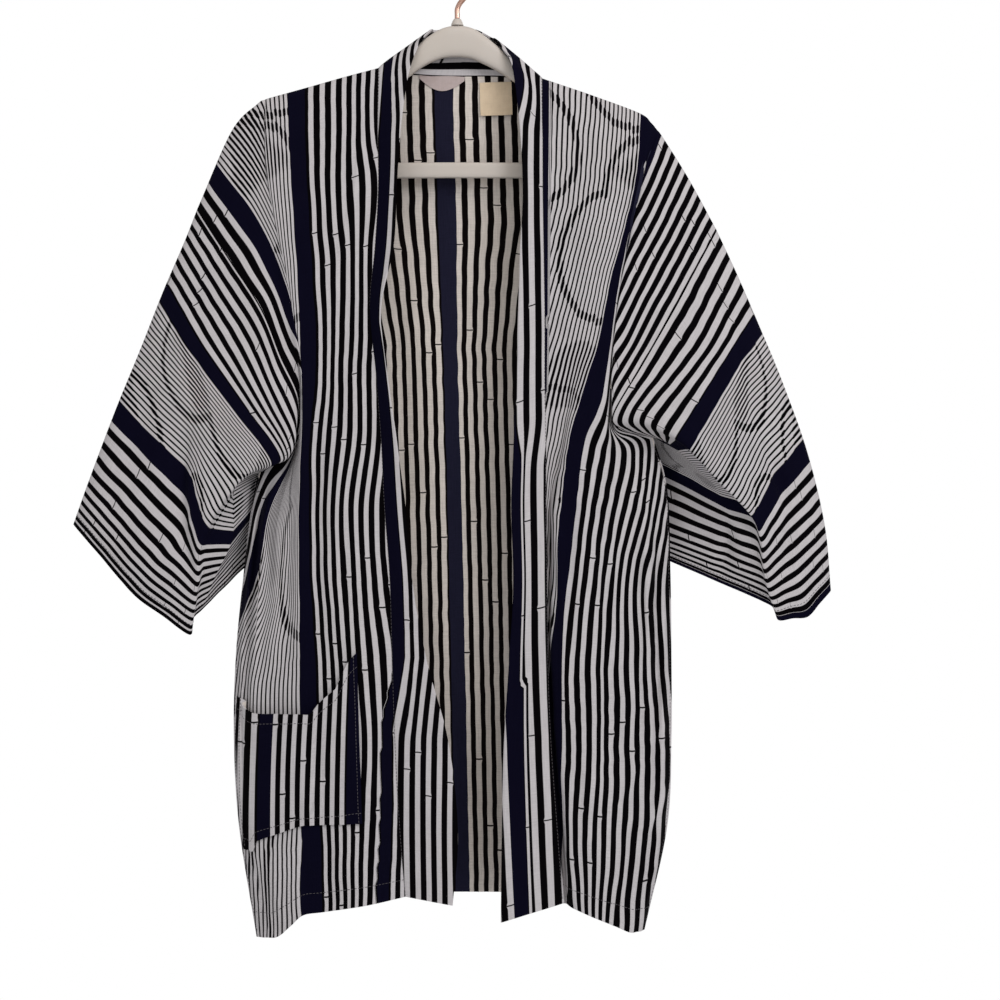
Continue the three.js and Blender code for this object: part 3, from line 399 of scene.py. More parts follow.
# The middle of the back's print, by stations, and how it draws together below the shoulder
# blades. It follows the cloth near the middle and the width near the armholes
BACK_CENTRE = ([0, 0.5, HEM], [-14.5, -14.5, 4])
BACK_SQUEEZE = ([2.5, 4.5], [1, 1.3])
BACK_BLEND = (90, 200)
BACK_FULLNESS = 1.03
BACK_EDGE_COLUMNS = 8

# The weights that even the distances along the back's rows
EVEN_ROWS = (1, 2, 3, 4, 5, 6, 7, 8, 9, 8, 7, 6, 5, 4, 3, 2, 1)

# In millimetres, how softly the print that a crease swallows returns, how far that reaches, and
# how far the print strays. A crease runs out at its ends as a root of this power
CREASE_EASE = 3.2
CREASE_REACH = 26
PRINT_STRAY = 0.7
CREASE_TAPER = 0.6

# Creases, placed by the photograph's pixels: the two ends, how far the middle bows to its
# right, the widths to its left and right, the height (troughs are negative) and how much of
# the print it swallows
CREASE_COLUMNS = ["x0", "y0", "x1", "y1", "bow", "left", "right", "height", "hidden"]
RIGHT_CREASES = table(CREASE_COLUMNS, [
    [364, 118, 338, 262, 3, 2, 9, 2.2, 2],
    [371, 190, 377, 330, -3, 7, 3, -1.6, 1],
    [318, 170, 312, 225, 3, 5, 5, 1.6, 0],
    [316, 205, 330, 330, -2, 6, 8, -1.4, 0],
    [345, 250, 336, 440, 4, 6, 9, -1.8, 3],
    [356, 330, 371, 520, -4, 6, 6, 1.6, 0],
    [330, 430, 322, 640, 3, 7, 9, 1.8, 0],
    [352, 470, 346, 660, -3, 6, 7, -2.0, 4],
    [366, 540, 356, 700, 2, 5, 6, 1.4, 0],
    [296, 470, 286, 660, -4, 6, 9, -2.6, 8],
    [280, 520, 268, 690, 3, 6, 7, 2.2, 0],
    [262, 530, 252, 680, 3, 5, 7, -2.2, 6],
    [362, 700, 378, 880, 3, 6, 6, 1.8, 0],
    [384, 700, 392, 880, -3, 4, 6, -1.6, 0],
    [250, 856, 262, 936, 3, 6, 8, -2.2, 4],
    [275, 855, 285, 934, -3, 6, 8, 2.0, 0],
    [300, 830, 305, 915, 2, 5, 8, -2.4, 5],
    [335, 826, 340, 914, 2, 6, 7, 1.6, 0],
    [230, 300, 262, 455, 6, 9, 9, -1.5, 0],
    [300, 120, 297, 250, 2, 8, 8, 1.2, 0],
])
LEFT_CREASES = table(CREASE_COLUMNS, [
    [548, 470, 562, 760, 6, 3, 8, 2.6, 9],
    [562, 760, 569, 914, 3, 3, 8, 2.2, 7],
    [589, 480, 577, 680, -4, 6, 8, 1.8, 4],
    [600, 540, 596, 840, 5, 6, 8, -2.0, 5],
    [622, 460, 616, 700, -5, 7, 7, 1.8, 0],
    [641, 762, 619, 803, 2, 4, 7, 2.0, 3],
    [665, 724, 653, 741, 1, 4, 5, 1.8, 2],
    [668, 785, 643, 833, 3, 4, 8, 2.4, 4],
    [659, 864, 647, 877, 1, 4, 5, 1.6, 0],
    [640, 560, 634, 740, 4, 7, 8, -2.0, 4],
    [655, 520, 650, 640, -3, 6, 7, 1.8, 0],
    [625, 820, 616, 920, 3, 6, 7, -1.8, 4],
    [588, 760, 592, 918, -3, 6, 7, 1.6, 0],
    [556, 150, 560, 300, 3, 9, 9, -1.0, 0],
    [600, 130, 585, 330, -4, 9, 10, 1.1, 0],
    [628, 150, 604, 330, 4, 6, 8, -1.2, 0],
    [690, 190, 645, 330, 8, 8, 9, 1.3, 0],
    [710, 225, 660, 350, 8, 8, 9, -1.3, 0],
])
RIGHT_SLEEVE_CREASES = table(CREASE_COLUMNS, [
    [199, 300, 189, 430, 4, 8, 5, -2.4, 0],
    [189, 425, 194, 580, -9, 9, 5, -7.0, 0],
    [170, 330, 140, 470, 5, 8, 9, 1.6, 0],
    [150, 400, 100, 520, 6, 8, 9, -1.6, 0],
    [228, 330, 262, 450, 8, 8, 8, 1.8, 0],
    [212, 420, 236, 480, 5, 6, 7, -1.8, 0],
    [160, 500, 120, 570, 4, 7, 8, 1.6, 0],
    [205, 470, 204, 590, 3, 6, 6, 2.4, 0],
    [240, 290, 225, 400, 4, 8, 8, -1.3, 0],
    [110, 430, 88, 500, 3, 6, 7, 1.3, 0],
])
LEFT_SLEEVE_CREASES = table(CREASE_COLUMNS, [
    [722, 303, 757, 440, 5, 5, 8, -3.0, 0],
    [757, 436, 790, 520, 3, 5, 8, -4.0, 0],
    [792, 512, 788, 582, -3, 5, 7, -3.4, 0],
    [710, 352, 717, 392, 2, 5, 6, -2.0, 0],
    [745, 330, 790, 450, 6, 8, 9, 1.6, 0],
    [770, 380, 815, 520, 6, 8, 9, -1.5, 0],
    [690, 380, 750, 500, 7, 8, 8, 1.8, 0],
    [735, 300, 770, 380, 4, 7, 8, -1.2, 0],
    [805, 480, 812, 585, 3, 7, 7, 1.6, 0],
    [655, 400, 705, 440, 5, 6, 7, -1.6, 0],
])
BACK_CREASES = table(CREASE_COLUMNS, [
    [479, 640, 497, 740, 3, 4, 7, 1.6, 0],
    [440, 300, 446, 620, 5, 9, 9, 1.2, 0],
    [500, 200, 492, 560, -5, 9, 9, -1.3, 0],
    [465, 560, 473, 900, 4, 8, 8, -1.4, 0],
    [330, 160, 318, 420, 6, 9, 10, -1.8, 0],
    [300, 300, 312, 700, -6, 9, 9, 2.2, 0],
    [370, 420, 362, 880, 6, 9, 9, -2.4, 0],
    [400, 240, 408, 520, -4, 9, 9, 1.6, 0],
    [268, 520, 262, 900, 5, 7, 9, -2.4, 0],
    [560, 180, 572, 520, -5, 9, 10, 1.8, 0],
    [600, 260, 588, 640, 6, 9, 9, -2.2, 0],
    [540, 480, 552, 900, -5, 9, 9, 2.4, 0],
    [632, 520, 628, 900, 4, 8, 9, -2.4, 0],
    [260, 220, 300, 330, 7, 10, 10, 1.6, 0],
    [655, 230, 618, 340, -7, 10, 10, 1.6, 0],
    [420, 700, 412, 925, 4, 7, 8, 1.8, 0],
    [590, 720, 600, 925, -4, 7, 8, 1.8, 0],
])
POCKET_CREASES = table(CREASE_COLUMNS, [
    [342, 722, 319, 776, 3, 9, 3, 3.4, 0],
    [319, 776, 303, 820, 3, 9, 3, 3.0, 0],
    [262, 704, 256, 840, 3, 7, 8, 1.8, 0],
    [290, 710, 284, 800, -3, 6, 7, 1.6, 0],
    [352, 730, 350, 815, 2, 6, 6, 1.0, 0],
])
COLLAR_CREASES = table(CREASE_COLUMNS, [
    [389, 280, 381, 330, 2, 3, 5, 1.4, 0],
    [428, 620, 457, 790, -4, 4, 8, 2.0, 0],
    [404, 480, 412, 600, 3, 5, 6, -1.4, 0],
    [520, 250, 524, 500, 3, 6, 6, 0.9, 0],
    [512, 560, 520, 760, -3, 6, 6, -1.1, 0],
    [506, 720, 512, 900, 3, 5, 7, 1.2, 0],
])


def spline(points, at):
    """A smooth curve through points that stand one apart, read at fractional places."""
    points = np.asarray(points, float)
    at = np.asarray(at, float)
    last = len(points) - 1
    start = np.clip(np.floor(at).astype(int), 0, last - 1)
    shape = (-1,) + (1,) * (points.ndim - 1)
    f = (at - start).reshape(shape)
    b = points[start]
    c = points[start + 1]
    a = np.where((start > 0).reshape(shape), points[np.maximum(start - 1, 0)], 2 * b - c)
    d = np.where((start + 2 <= last).reshape(shape), points[np.minimum(start + 2, last)], 2 * c - b)
    bend = 2 * a - 5 * b + 4 * c - d
    twist = 3 * b - a - 3 * c + d
    return 0.5 * (2 * b + (c - a) * f + bend * f * f + twist * f ** 3)


def mix(a, b, f):
    return a + (b - a) * f


def run_of(points):
    """Distances along a line of points."""
    step = np.linalg.norm(np.diff(points, axis=0), axis=1)
    return np.concatenate([[0], np.cumsum(step)])


def smoothstep(low, high, x):
    f = np.clip((x - low) / (high - low), 0, 1)
    return f * f * (3 - 2 * f)


def place(side, out, drop, fore):
    """A guide point: side is -1 for the coat's right and +1 for its left."""
    return np.array([side * out, -fore, -drop], float)


def sleeve_ring(side, row):
    """Guide points of one sleeve ring: the front and the back from fold to underarm."""
    fold = (row["foldOut"], row["foldDrop"])
    crease = (row["creaseOut"], row["creaseDrop"])
    low = (row["lowOut"], row["lowDrop"])
    under = (row["underOut"], row["underDrop"])
    reach = (row["reachOut"], row["reachDrop"])

    def between(p, q, f, fore):
        return place(side, mix(p[0], q[0], f), mix(p[1], q[1], f), fore)

    aft = row["reachAft"]
    front = [
        place(side, *fold, 0),
        between(fold, crease, 0.5, 0.72 * row["creaseFore"]),
        place(side, *crease, row["creaseFore"]),
        between(crease, low, 0.5, 0.5 * (row["creaseFore"] + row["lowFore"]) + 1),
        place(side, *low, row["lowFore"]),
        place(side, mix(low[0], under[0], 0.25), mix(low[1], under[1], 0.62),
              mix(row["lowFore"], row["underFore"], 0.45)),
        place(side, *under, row["underFore"]),
    ]
    back = [
        place(side, *fold, 0),
        between(fold, reach, 0.3, -0.64 * aft),
        between(fold, reach, 0.6, -0.92 * aft),
        between(fold, reach, 0.85, -1.04 * aft),
        place(side, *reach, -aft),
        between(reach, under, 0.5, mix(-aft, row["underFore"], 0.42)),
        place(side, *under, row["underFore"]),
    ]
    return {"front": np.array(front), "back": np.array(back)}


def sleeve_layer(side, rows, layer, around, along):
    """One layer of a sleeve as points: a row for each place around, a column along it."""
    rings = np.array([sleeve_ring(side, row)[layer] for row in rows])
    guides = np.swapaxes(spline(rings, along), 0, 1)
    points = spline(guides, around)
    return round_shoulder(points, guides[0], guides[1], around)


def round_shoulder(points, top, below, down):
    """Cloth falls steeply from the shoulder line, so its depth grows as a root."""
    near = down < 1
    share = (down[near] ** SHOULDER_ROUNDNESS)[:, None]
    points[near, :, 1] = mix(top[None, :, 1], below[None, :, 1], share)
    return points


class Half:
    """One half of the body: its side and its guide tables."""

    def __init__(self, side, body, shoulder, corner, seam_side, sleeve):
        self.side = side
        self.body = body
        self.shoulder = shoulder
        self.corner = corner
        self.seam_side = seam_side
        self.sleeve = sleeve

    def net(self, layer):
        front = layer == "front"
        side = self.side
        ring = sleeve_ring(side, self.sleeve[0])[layer]
        rows = [[place(side, p["out"], p["drop"], 0) for p in self.shoulder] + [ring[0]]]
        for k, row in enumerate(self.body):
            v = k + 1
            aft = BACK_AFTS[v]

            def depth(fore, share):
                return fore if front else -aft * share

            def drop_at(out):
                f = (out - row["seamOut"]) / (row["innerOut"] - row["seamOut"])
                return mix(row["seamDrop"], row["innerDrop"], f)

            if v <= UNDERARM:
                edge = ring[v]
            else:
                seam = self.seam_side[v - UNDERARM - 1]
                edge = place(side, seam["out"], seam["drop"], 0)
            share = 0.65 if v == UNDERARM - 1 else 0.85
            outer = place(side, row["outerOut"], row["outerDrop"], depth(row["outerFore"], share))
            if v <= len(self.corner):
                corner = self.corner[k]
                turn = place(side, corner["out"], corner["drop"], depth(0.9 * row["outerFore"], 0.9))
            else:
                turn = (outer + edge) / 2
            if v > UNDERARM:
                turn[1] += -SIDE_FULLNESS if front else SIDE_FULLNESS
            groove = depth(row["chestFore"] - row["tuck"], 1) - (0 if front else 0.4 * row["tuck"])
            rows.append([
                place(side, row["seamOut"], row["seamDrop"], depth(row["seamFore"], 1)),
                place(side, row["pleatOut"], drop_at(row["pleatOut"]), depth(row["pleatFore"], 1)),
                place(side, row["bandOut"], drop_at(row["bandOut"]), depth(row["chestFore"], 1)),
                place(side, row["innerOut"], row["innerDrop"], depth(row["chestFore"], 1)),
                place(side, (row["innerOut"] + row["outerOut"]) / 2,
                      (row["innerDrop"] + row["outerDrop"]) / 2, groove),
                outer, turn, edge,
            ])
        return np.array(rows)

    def side_seam(self, down):
        under = sleeve_ring(self.side, self.sleeve[0])["front"][UNDERARM]
        points = [under] + [place(self.side, p["out"], p["drop"], 0) for p in self.seam_side]
        return spline(points, down - UNDERARM)

    def grid(self, layer, folds, across, down):
        """The half as points: a row for each station down, a column for each place across."""
        net = self.net(layer)
        rows = np.swapaxes(spline(np.swapaxes(net, 0, 1), across), 0, 1)
        points = spline(rows, down)
        points = round_shoulder(points, rows[0], rows[1], down)
        facing = -1 if layer == "front" else 1
        height = np.zeros(points.shape[:2])
        for fold in folds:
            line = fold["place"] + fold["lean"] * (down - fold["from"]) / HEM
            away = (across[None, :] - line[:, None]) / fold["width"]
            along = np.clip((down - fold["from"]) / (fold["to"] - fold["from"]), 0, 1)
            height += fold["height"] * np.exp(-away ** 2) * np.sin(np.pi * np.sqrt(along))[:, None]
        points[:, :, 1] += facing * height * np.minimum(1, (SIDE_GUIDES - across) / 0.6)
        ring = sleeve_ring(self.side, self.sleeve[0])[layer]
        guide = ring[:, None, :]
        arm = down <= UNDERARM
        exact = self.side_seam(np.maximum(down, UNDERARM))
        exact[arm] = round_shoulder(spline(guide, down[arm]), guide[0], guide[1], down[arm])[:, 0]
        pull = smoothstep(SIDE_GUIDES - 1, SIDE_GUIDES, across)
        return points + (exact - points[:, -1])[:, None, :] * pull[None, :, None]


RIGHT = Half(-1, RIGHT_BODY, RIGHT_SHOULDER, RIGHT_CORNER, RIGHT_SIDE, RIGHT_SLEEVE)
LEFT = Half(1, LEFT_BODY, LEFT_SHOULDER, LEFT_CORNER, LEFT_SIDE, LEFT_SLEEVE)

NEAR_SHOULDER = np.array([0, 0.01, 0.03, 0.06, 0.1, 0.15, 0.21, 0.28, 0.37, 0.48, 0.6, 0.75])
DOWN = np.concatenate([NEAR_SHOULDER, np.arange(0.9, HEM, 0.075), [HEM]])
ACROSS = np.linspace(0, SIDE_GUIDES, 106)
NECK = 0.5 - 0.5 * np.cos(np.pi * np.linspace(0, 1, 51))[1:-1]
AROUND = np.concatenate([NEAR_SHOULDER, np.arange(0.9, UNDERARM, 0.085), [UNDERARM]])
ALONG = np.linspace(0, 6, 101)


def print_across(rows, shoulder_corner):
    """Print coordinates on the body's grid, from the guides' values."""
    values = []
    for row in rows:
        turn = (row["outer"] + row["edge"]) / 2
        groove = (row["inner"] + row["outer"]) / 2
        values.append([row["seam"], row["pleat"], row["band"], row["inner"], groove,
                       row["outer"], turn, row["edge"]])
    values[0][6] = shoulder_corner
    values = np.array(values, float)[:, :, None]
    rows_across = np.swapaxes(spline(np.swapaxes(values, 0, 1), ACROSS), 0, 1)
    return spline(rows_across, DOWN)[:, :, 0]


def from_pixels(x, y):
    """A place in the photograph as millimetres in the hanger's plane."""
    return np.array([(x - ORIGIN_PX) * PIXEL, (ORIGIN_PY - y) * PIXEL])


def creased(points, creases):
    """Height and print shift that the creases give a grid of points."""
    flat = points[..., [0, 2]]
    height = np.zeros(points.shape[:2])
    shift = np.zeros(points.shape[:2])
    for crease in creases:
        start = from_pixels(crease["x0"], crease["y0"])
        end = from_pixels(crease["x1"], crease["y1"])
        length = np.linalg.norm(end - start)
        along = (end - start) / length
        across = np.array([-along[1], along[0]])
        f = ((flat - start) @ along) / length
        away = (flat - start) @ across - crease["bow"] * np.sin(np.pi * np.clip(f, 0, 1))
        taper = np.clip(np.sin(np.pi * np.clip(f, 0, 1)), 0, None) ** CREASE_TAPER
        width = np.where(away < 0, crease["left"], crease["right"])
        height += crease["height"] * np.exp(-(away / width) ** 2) * taper
        jump = 0.5 * np.tanh(away / CREASE_EASE) * np.exp(-np.abs(away) / CREASE_REACH)
        shift += crease["hidden"] * jump * taper
    return height, shift


def rumple(points, seed, size, turn=0):
    """A low, uneven waviness made of a few crossing sine waves, across the cloth or turned."""
    rng = np.random.default_rng(seed)
    height = np.zeros(points.shape[:2])
    for _ in range(RUMPLE_WAVES):
        angle = rng.normal(turn, RUMPLE_LEAN)
        wave = rng.uniform(*RUMPLE_LENGTHS)
        phase = rng.uniform(0, 2 * math.pi)
        drift = rng.uniform(0, 2 * math.pi)
        across = points[..., 0] * math.cos(angle) + points[..., 2] * math.sin(angle)
        swell = 0.5 + 0.5 * np.sin(points[..., 2] / (wave * RUMPLE_SWELL) + drift)
        height += swell * np.sin(2 * math.pi * across / wave + phase)
    return size * height / RUMPLE_LEVEL


def normals_of(points, flip):
    across = np.gradient(points, axis=1)
    down = np.gradient(points, axis=0)
    normal = np.cross(across, down)
    normal /= np.maximum(np.linalg.norm(normal, axis=2, keepdims=True), 1e-9)
    return -normal if flip else normal


def mirrored(creases):
    """The same creases on the coat's other side."""
    turned = []
    for crease in creases:
        turned.append({**crease, "x0": 2 * ORIGIN_PX - crease["x0"], "x1": 2 * ORIGIN_PX - crease["x1"],
                       "bow": -crease["bow"], "left": crease["right"], "right": crease["left"]})
    return turned


def pushed(points, flip, height):
    return points + normals_of(points, flip) * height[..., None]


class Sheet:
    """A cloth wall: outer points, print places across and along, and its thickness."""

    def __init__(self, points, across, along, flip, thickness=CLOTH, closed=False):
        self.points = points
        self.across = across
        self.along = along
        self.flip = flip
        self.thickness = thickness
        self.closed = closed

    def normals(self):
        points = self.points
        if not self.closed:
            return normals_of(points, self.flip)
        wrapped = np.concatenate([points[-2:-1], points, points[1:2]])
        return normals_of(wrapped, self.flip)[1:-1]

    def at(self, row, column):
        """A point and its normal at fractional rows and columns."""
        return sampled(self.points, row, column), sampled(self.normals(), row, column)


def sampled(grid, row, column):
    i = np.clip(np.floor(row).astype(int), 0, grid.shape[0] - 2)
    j = np.clip(np.floor(column).astype(int), 0, grid.shape[1] - 2)
    g = (row - i)[..., None]
    f = (column - j)[..., None]
    top = mix(grid[i, j], grid[i, j + 1], f)
    return mix(top, mix(grid[i + 1, j], grid[i + 1, j + 1], f), g)


def index_of(places, values):
    return np.interp(values, places, np.arange(len(places)))


def strayed(points, seed):
    """How far the print wanders along its stripes."""
    return rumple(points, seed, PRINT_STRAY, math.pi / 2)


def turned_edge(across):
    """The right front's lower edge is turned back and shows another part of the print. Where it meets the
    front, the black band between the two places shows as a thin line of painted shade for the fold.
    """
    inside = np.interp(DOWN, *TURNED_EDGE)[:, None] - across
    squeezed = TURNED_NAVY + TURNED_SQUEEZE * (inside - TURNED_NAVY)
    return np.where(inside > 0, TURNED_PLACE - np.where(inside < TURNED_NAVY, inside, squeezed), across)


def seam_strip(across):
    """A narrow navy strip runs beside the left collar."""
    beyond = across - across[:, :1] - np.interp(DOWN, *SEAM_STRIP)[:, None]
    return np.where(beyond < 0, SEAM_STRIP_PLACE + beyond, across)


def front_sheet(half, folds, creases, prints, corner, seed, rumpled):
    points = half.grid("front", folds, ACROSS, DOWN)
    flip = half.side > 0
    height, shift = creased(points, creases)
    height += rumple(points, seed, rumpled)
    calm = smoothstep(0, 0.35, ACROSS)[None, :] * smoothstep(SIDE_GUIDES, SIDE_GUIDES - 0.5, ACROSS)[None, :]
    calm = calm * smoothstep(0, 0.5, DOWN)[:, None]
    across = print_across(prints, corner)
    across = turned_edge(across) if half.side < 0 else seam_strip(across)
    across = across + (shift + strayed(points, seed + STRAY_SEED)) * smoothstep(0, 0.2, DOWN)[:, None]
    along = np.repeat(DOWN[:, None] * STATION_RUN, len(ACROSS), axis=1)
    return Sheet(pushed(points, flip, height * calm), across, along, flip)


def evened(rows):
    """Each value becomes the mean of the rows near it, so the print runs down smoothly."""
    spread = len(EVEN_ROWS) // 2
    padded = np.pad(rows, ((spread, spread), (0, 0)), mode="edge")
    return sum(share * padded[i:i + len(rows)] for i, share in enumerate(EVEN_ROWS)) / sum(EVEN_ROWS)


def back_sheet(rumpled):
    right = RIGHT.grid("back", BACK_FOLDS, ACROSS, DOWN)
    left = LEFT.grid("back", BACK_FOLDS, ACROSS, DOWN)
    drops = np.where(DOWN < 1, mix(BACK_CENTRE_DROPS[0], BACK_CENTRE_DROPS[1], DOWN),
                     spline(BACK_CENTRE_DROPS, DOWN))
    afts = spline(BACK_AFTS, DOWN)
    dip = np.sin(np.pi * NECK)
    middle = mix(right[:, :1], left[:, :1], NECK[None, :, None])
    middle[:, :, 1] = mix(middle[:, :, 1], afts[:, None], dip[None, :] ** NECK_ROUNDNESS)
    middle[:, :, 2] = mix(middle[:, :, 2], -drops[:, None], dip[None, :])
    points = np.concatenate([right[:, ::-1], middle, left], axis=1)
    height, shift = creased(points, BACK_CREASES)
    height += rumple(points, SEEDS["back_panel"], rumpled)
    edge = np.arange(points.shape[1]) / BACK_EDGE_COLUMNS
    edge = np.minimum(edge, edge[::-1])
    calm = smoothstep(0, 1, edge)[None, :] * smoothstep(0, 0.6, DOWN)[:, None]
    points = pushed(points, False, height * calm)
    step = np.linalg.norm(np.diff(points[:, :, [0, 1]], axis=1), axis=2)
    arc = evened(np.concatenate([np.zeros((len(DOWN), 1)), np.cumsum(step, axis=1)], axis=1))
    centre = np.interp(DOWN, *BACK_CENTRE)
    origin = np.array([np.interp(c, row_x, row_a) for c, row_x, row_a in zip(centre, points[:, :, 0], arc)])
    sideways = points[:, :, 0] - centre[:, None]
    across = mix(arc - origin[:, None], BACK_FULLNESS * sideways,
                 smoothstep(*BACK_BLEND, np.abs(sideways)))
    across = across * np.interp(DOWN, *BACK_SQUEEZE)[:, None]
    across += shift + strayed(points, SEEDS["back_panel"] + STRAY_SEED)
    along = np.repeat(DOWN[:, None] * STATION_RUN, points.shape[1], axis=1)
    return Sheet(points, across, along, False)


def sleeve_sheet(half, creases, back_creases, prints, seed, rumpled):
    front = sleeve_layer(half.side, half.sleeve, "front", AROUND, ALONG)
    back = sleeve_layer(half.side, half.sleeve, "back", AROUND, ALONG)
    flip = half.side > 0
    calm = smoothstep(0, 0.25, ALONG)[None, :] * smoothstep(0, 0.5, AROUND)[:, None]
    calm = calm * smoothstep(UNDERARM, UNDERARM - 0.4, AROUND)[:, None]
    height = creased(front, creases)[0] + rumple(front, seed, rumpled)
    front = pushed(front, flip, height * calm)
    back_height = creased(back, back_creases)[0] + rumple(back, seed + 1, rumpled)
    back = pushed(back, not flip, back_height * calm)
    points = np.concatenate([front, back[::-1][1:]])
    placed = spline(np.array(prints, float), ALONG)
    around = np.concatenate([AROUND * GUIDE_RUN, 2 * UNDERARM * GUIDE_RUN - AROUND[::-1][1:] * GUIDE_RUN])
    calm = smoothstep(0, 0.25, ALONG) * smoothstep(6, 5.75, ALONG)
    across = placed[None, :] + strayed(points, seed + STRAY_SEED) * calm[None, :]
    along = np.repeat(around[:, None], len(ALONG), axis=1)
    return Sheet(points, across, along, flip, closed=True)


def free_edge(side, rows, down):
    guides = np.array([place(side, row["out"], row["drop"], row["fore"]) for row in rows])
    stations = [row["station"] for row in rows]
    return spline(guides, index_of(stations, down))


def collar_sheets(right, left, back, rumpled):
    """The two bands, from their sewn edge to their free one, meeting at the centre back."""
    first = len(ACROSS)
    neck_seam = back.points[0, first:first + len(NECK)]
    free_right = free_edge(-1, RIGHT_FREE_EDGE, DOWN)
    free_left = free_edge(1, LEFT_FREE_EDGE, DOWN)
    arch = np.sin(np.pi * NECK)
    neck_free = mix(free_right[0], free_left[0], NECK[:, None])
    neck_free[:, 1] = mix(neck_free[:, 1], COLLAR_BACK_AFT, arch ** NECK_ROUNDNESS)
    neck_free[:, 2] = mix(neck_free[:, 2], -COLLAR_BACK_DROP, arch)
    seam = np.concatenate([right.points[::-1, 0], neck_seam, left.points[:, 0]])
    free = np.concatenate([free_right[::-1], neck_free, free_left])
    share = BAND_SHARES[None, :, None]
    points = mix(seam[:, None], free[:, None], share)
    lift = np.interp(BAND_SHARES, *BAND_LIFT)
    away = seam - free
    away /= np.linalg.norm(away, axis=1, keepdims=True)
    points = points + away[:, None] * (SEAM_LAP * (1 - share) ** 6)
    height = creased(points, COLLAR_CREASES)[0]
    height += rumple(points, SEEDS["collar"], rumpled * COLLAR_RUMPLE)
    points = pushed(points, False, height * smoothstep(0, 0.15, BAND_SHARES)[None, :] + lift[None, :])
    width = np.linalg.norm(seam - free, axis=1)
    distance = width[:, None] * BAND_SHARES[None, :]
    low = smoothstep(*RIGHT_COLLAR_LOW, DOWN[::-1])[:, None]
    right_width = distance[:len(DOWN)]
    right_print = mix(np.interp(right_width, *RIGHT_COLLAR_PRINT), RIGHT_COLLAR_STRETCH * right_width, low)
    right_print = right_print + np.interp(DOWN[::-1], *RIGHT_COLLAR_SHIFT)[:, None]
    left_width = distance[-len(DOWN):] + np.interp(DOWN, *LEFT_COLLAR_SHIFT)[:, None]
    left_print = mix(left_width, np.interp(left_width, *LEFT_COLLAR_PRINT),
                     smoothstep(*LEFT_COLLAR_LOW, DOWN)[:, None])
    middle = len(seam) // 2
    right_neck = distance[len(DOWN):middle + 1] + RIGHT_NECK_SHIFT
    left_neck = distance[middle:-len(DOWN)] + LEFT_NECK_SHIFT
    prints = (np.concatenate([right_print, right_neck]), np.concatenate([left_neck, left_print]))
    along = np.repeat(run_of(free)[:, None], len(BAND_SHARES), axis=1)
    parts = []
    for span, across in zip((slice(0, middle + 1), slice(middle, None)), prints):
        parts.append(Sheet(points[span], across, along[span], False, COLLAR_CLOTH))
    return parts


def pocket_sheet(front):
    """The patch pocket lies on the front and gapes along its drooping mouth."""
    n = np.linspace(0, len(POCKET_EDGE) - 1, POCKET_COLUMNS)
    place_across = np.interp(n, range(len(POCKET_EDGE)), [row["place"] for row in POCKET_EDGE])
    mouth = spline([row["mouth"] for row in POCKET_EDGE], n)
    bottom = spline([row["bottom"] for row in POCKET_EDGE], n)
    down = np.linspace(0, 1, POCKET_ROWS)[:, None]
    station = mix(mouth[None, :], bottom[None, :], down)
    rows = index_of(DOWN, station)
    columns = np.repeat(index_of(ACROSS, place_across)[None, :], len(down), axis=0)
    point, normal = front.at(rows, columns)
    share = n[None, :] / n[-1]
    gape = POCKET_GAPE * np.sin(np.pi * share) * (1 - down) ** 1.6
    points = point + normal * (POCKET_GAP + CLOTH + gape)[..., None]
    height = creased(points, POCKET_CREASES)[0]
    calm = smoothstep(0, 0.12, down) * smoothstep(1, 0.9, down)
    calm = calm * smoothstep(0, 0.08, share) * smoothstep(1, 0.92, share)
    points = points + normal * (np.maximum(height, 0) * calm)[..., None]
    out = -points[..., 0] + POCKET_SPREAD * (1 - down) ** 2
    return Sheet(points, np.interp(out, *POCKET_PRINT), station * STATION_RUN + POCKET_ALONG, False)


def label_sheet(label, back):
    """A label hangs inside the back, close to the cloth."""
    f = np.linspace(0, 1, LABEL_SPANS + 1)
    sideways = (f - 0.5)[None, :] * label["width"]
    droop = label["bow"] * np.sin(np.pi * f)[None, :]
    downward = f[:, None] * (label["height"] + droop)
    tilt = label["tilt"]
    x = label["x"] + sideways * math.cos(tilt) - downward * math.sin(tilt)
    z = label["z"] - sideways * math.sin(tilt) - downward * math.cos(tilt)
    columns = np.interp(x, back.points[LABEL_FIRST_ROW, :, 0], np.arange(back.points.shape[1]))
    rows = np.zeros_like(x)
    for _ in range(LABEL_ROUNDS):
        here = sampled(back.points, rows, columns)
        below = sampled(back.points, rows + 1, columns)
        step = (z - here[..., 2]) / (below[..., 2] - here[..., 2])
        rows = np.clip(rows + step, 0, LABEL_LAST_ROW)
        beside = sampled(back.points, rows, columns + 1)
        columns = columns + (x - here[..., 0]) / (beside[..., 0] - here[..., 0])
    point, normal = back.at(rows, columns)
    curl = label["curl"] * (f[:, None] ** 2) * np.ones_like(x)
    points = point - normal * (CLOTH + LABEL_GAP + LABEL_CLOTH + curl)[..., None]
    return Sheet(points, sideways + 0 * x, downward, True, LABEL_CLOTH)


def add_object(name, vertices, faces, materials, smooth=True):
    mesh = bpy.data.meshes.new(name)
    mesh.from_pydata((np.asarray(vertices) * MM).tolist(), [], faces)
    for material in materials:
        mesh.materials.append(material)
    if smooth:
        mesh.shade_smooth()
    piece = bpy.data.objects.new(name, mesh)
    bpy.context.collection.objects.link(piece)
    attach(piece, "root")
    return piece


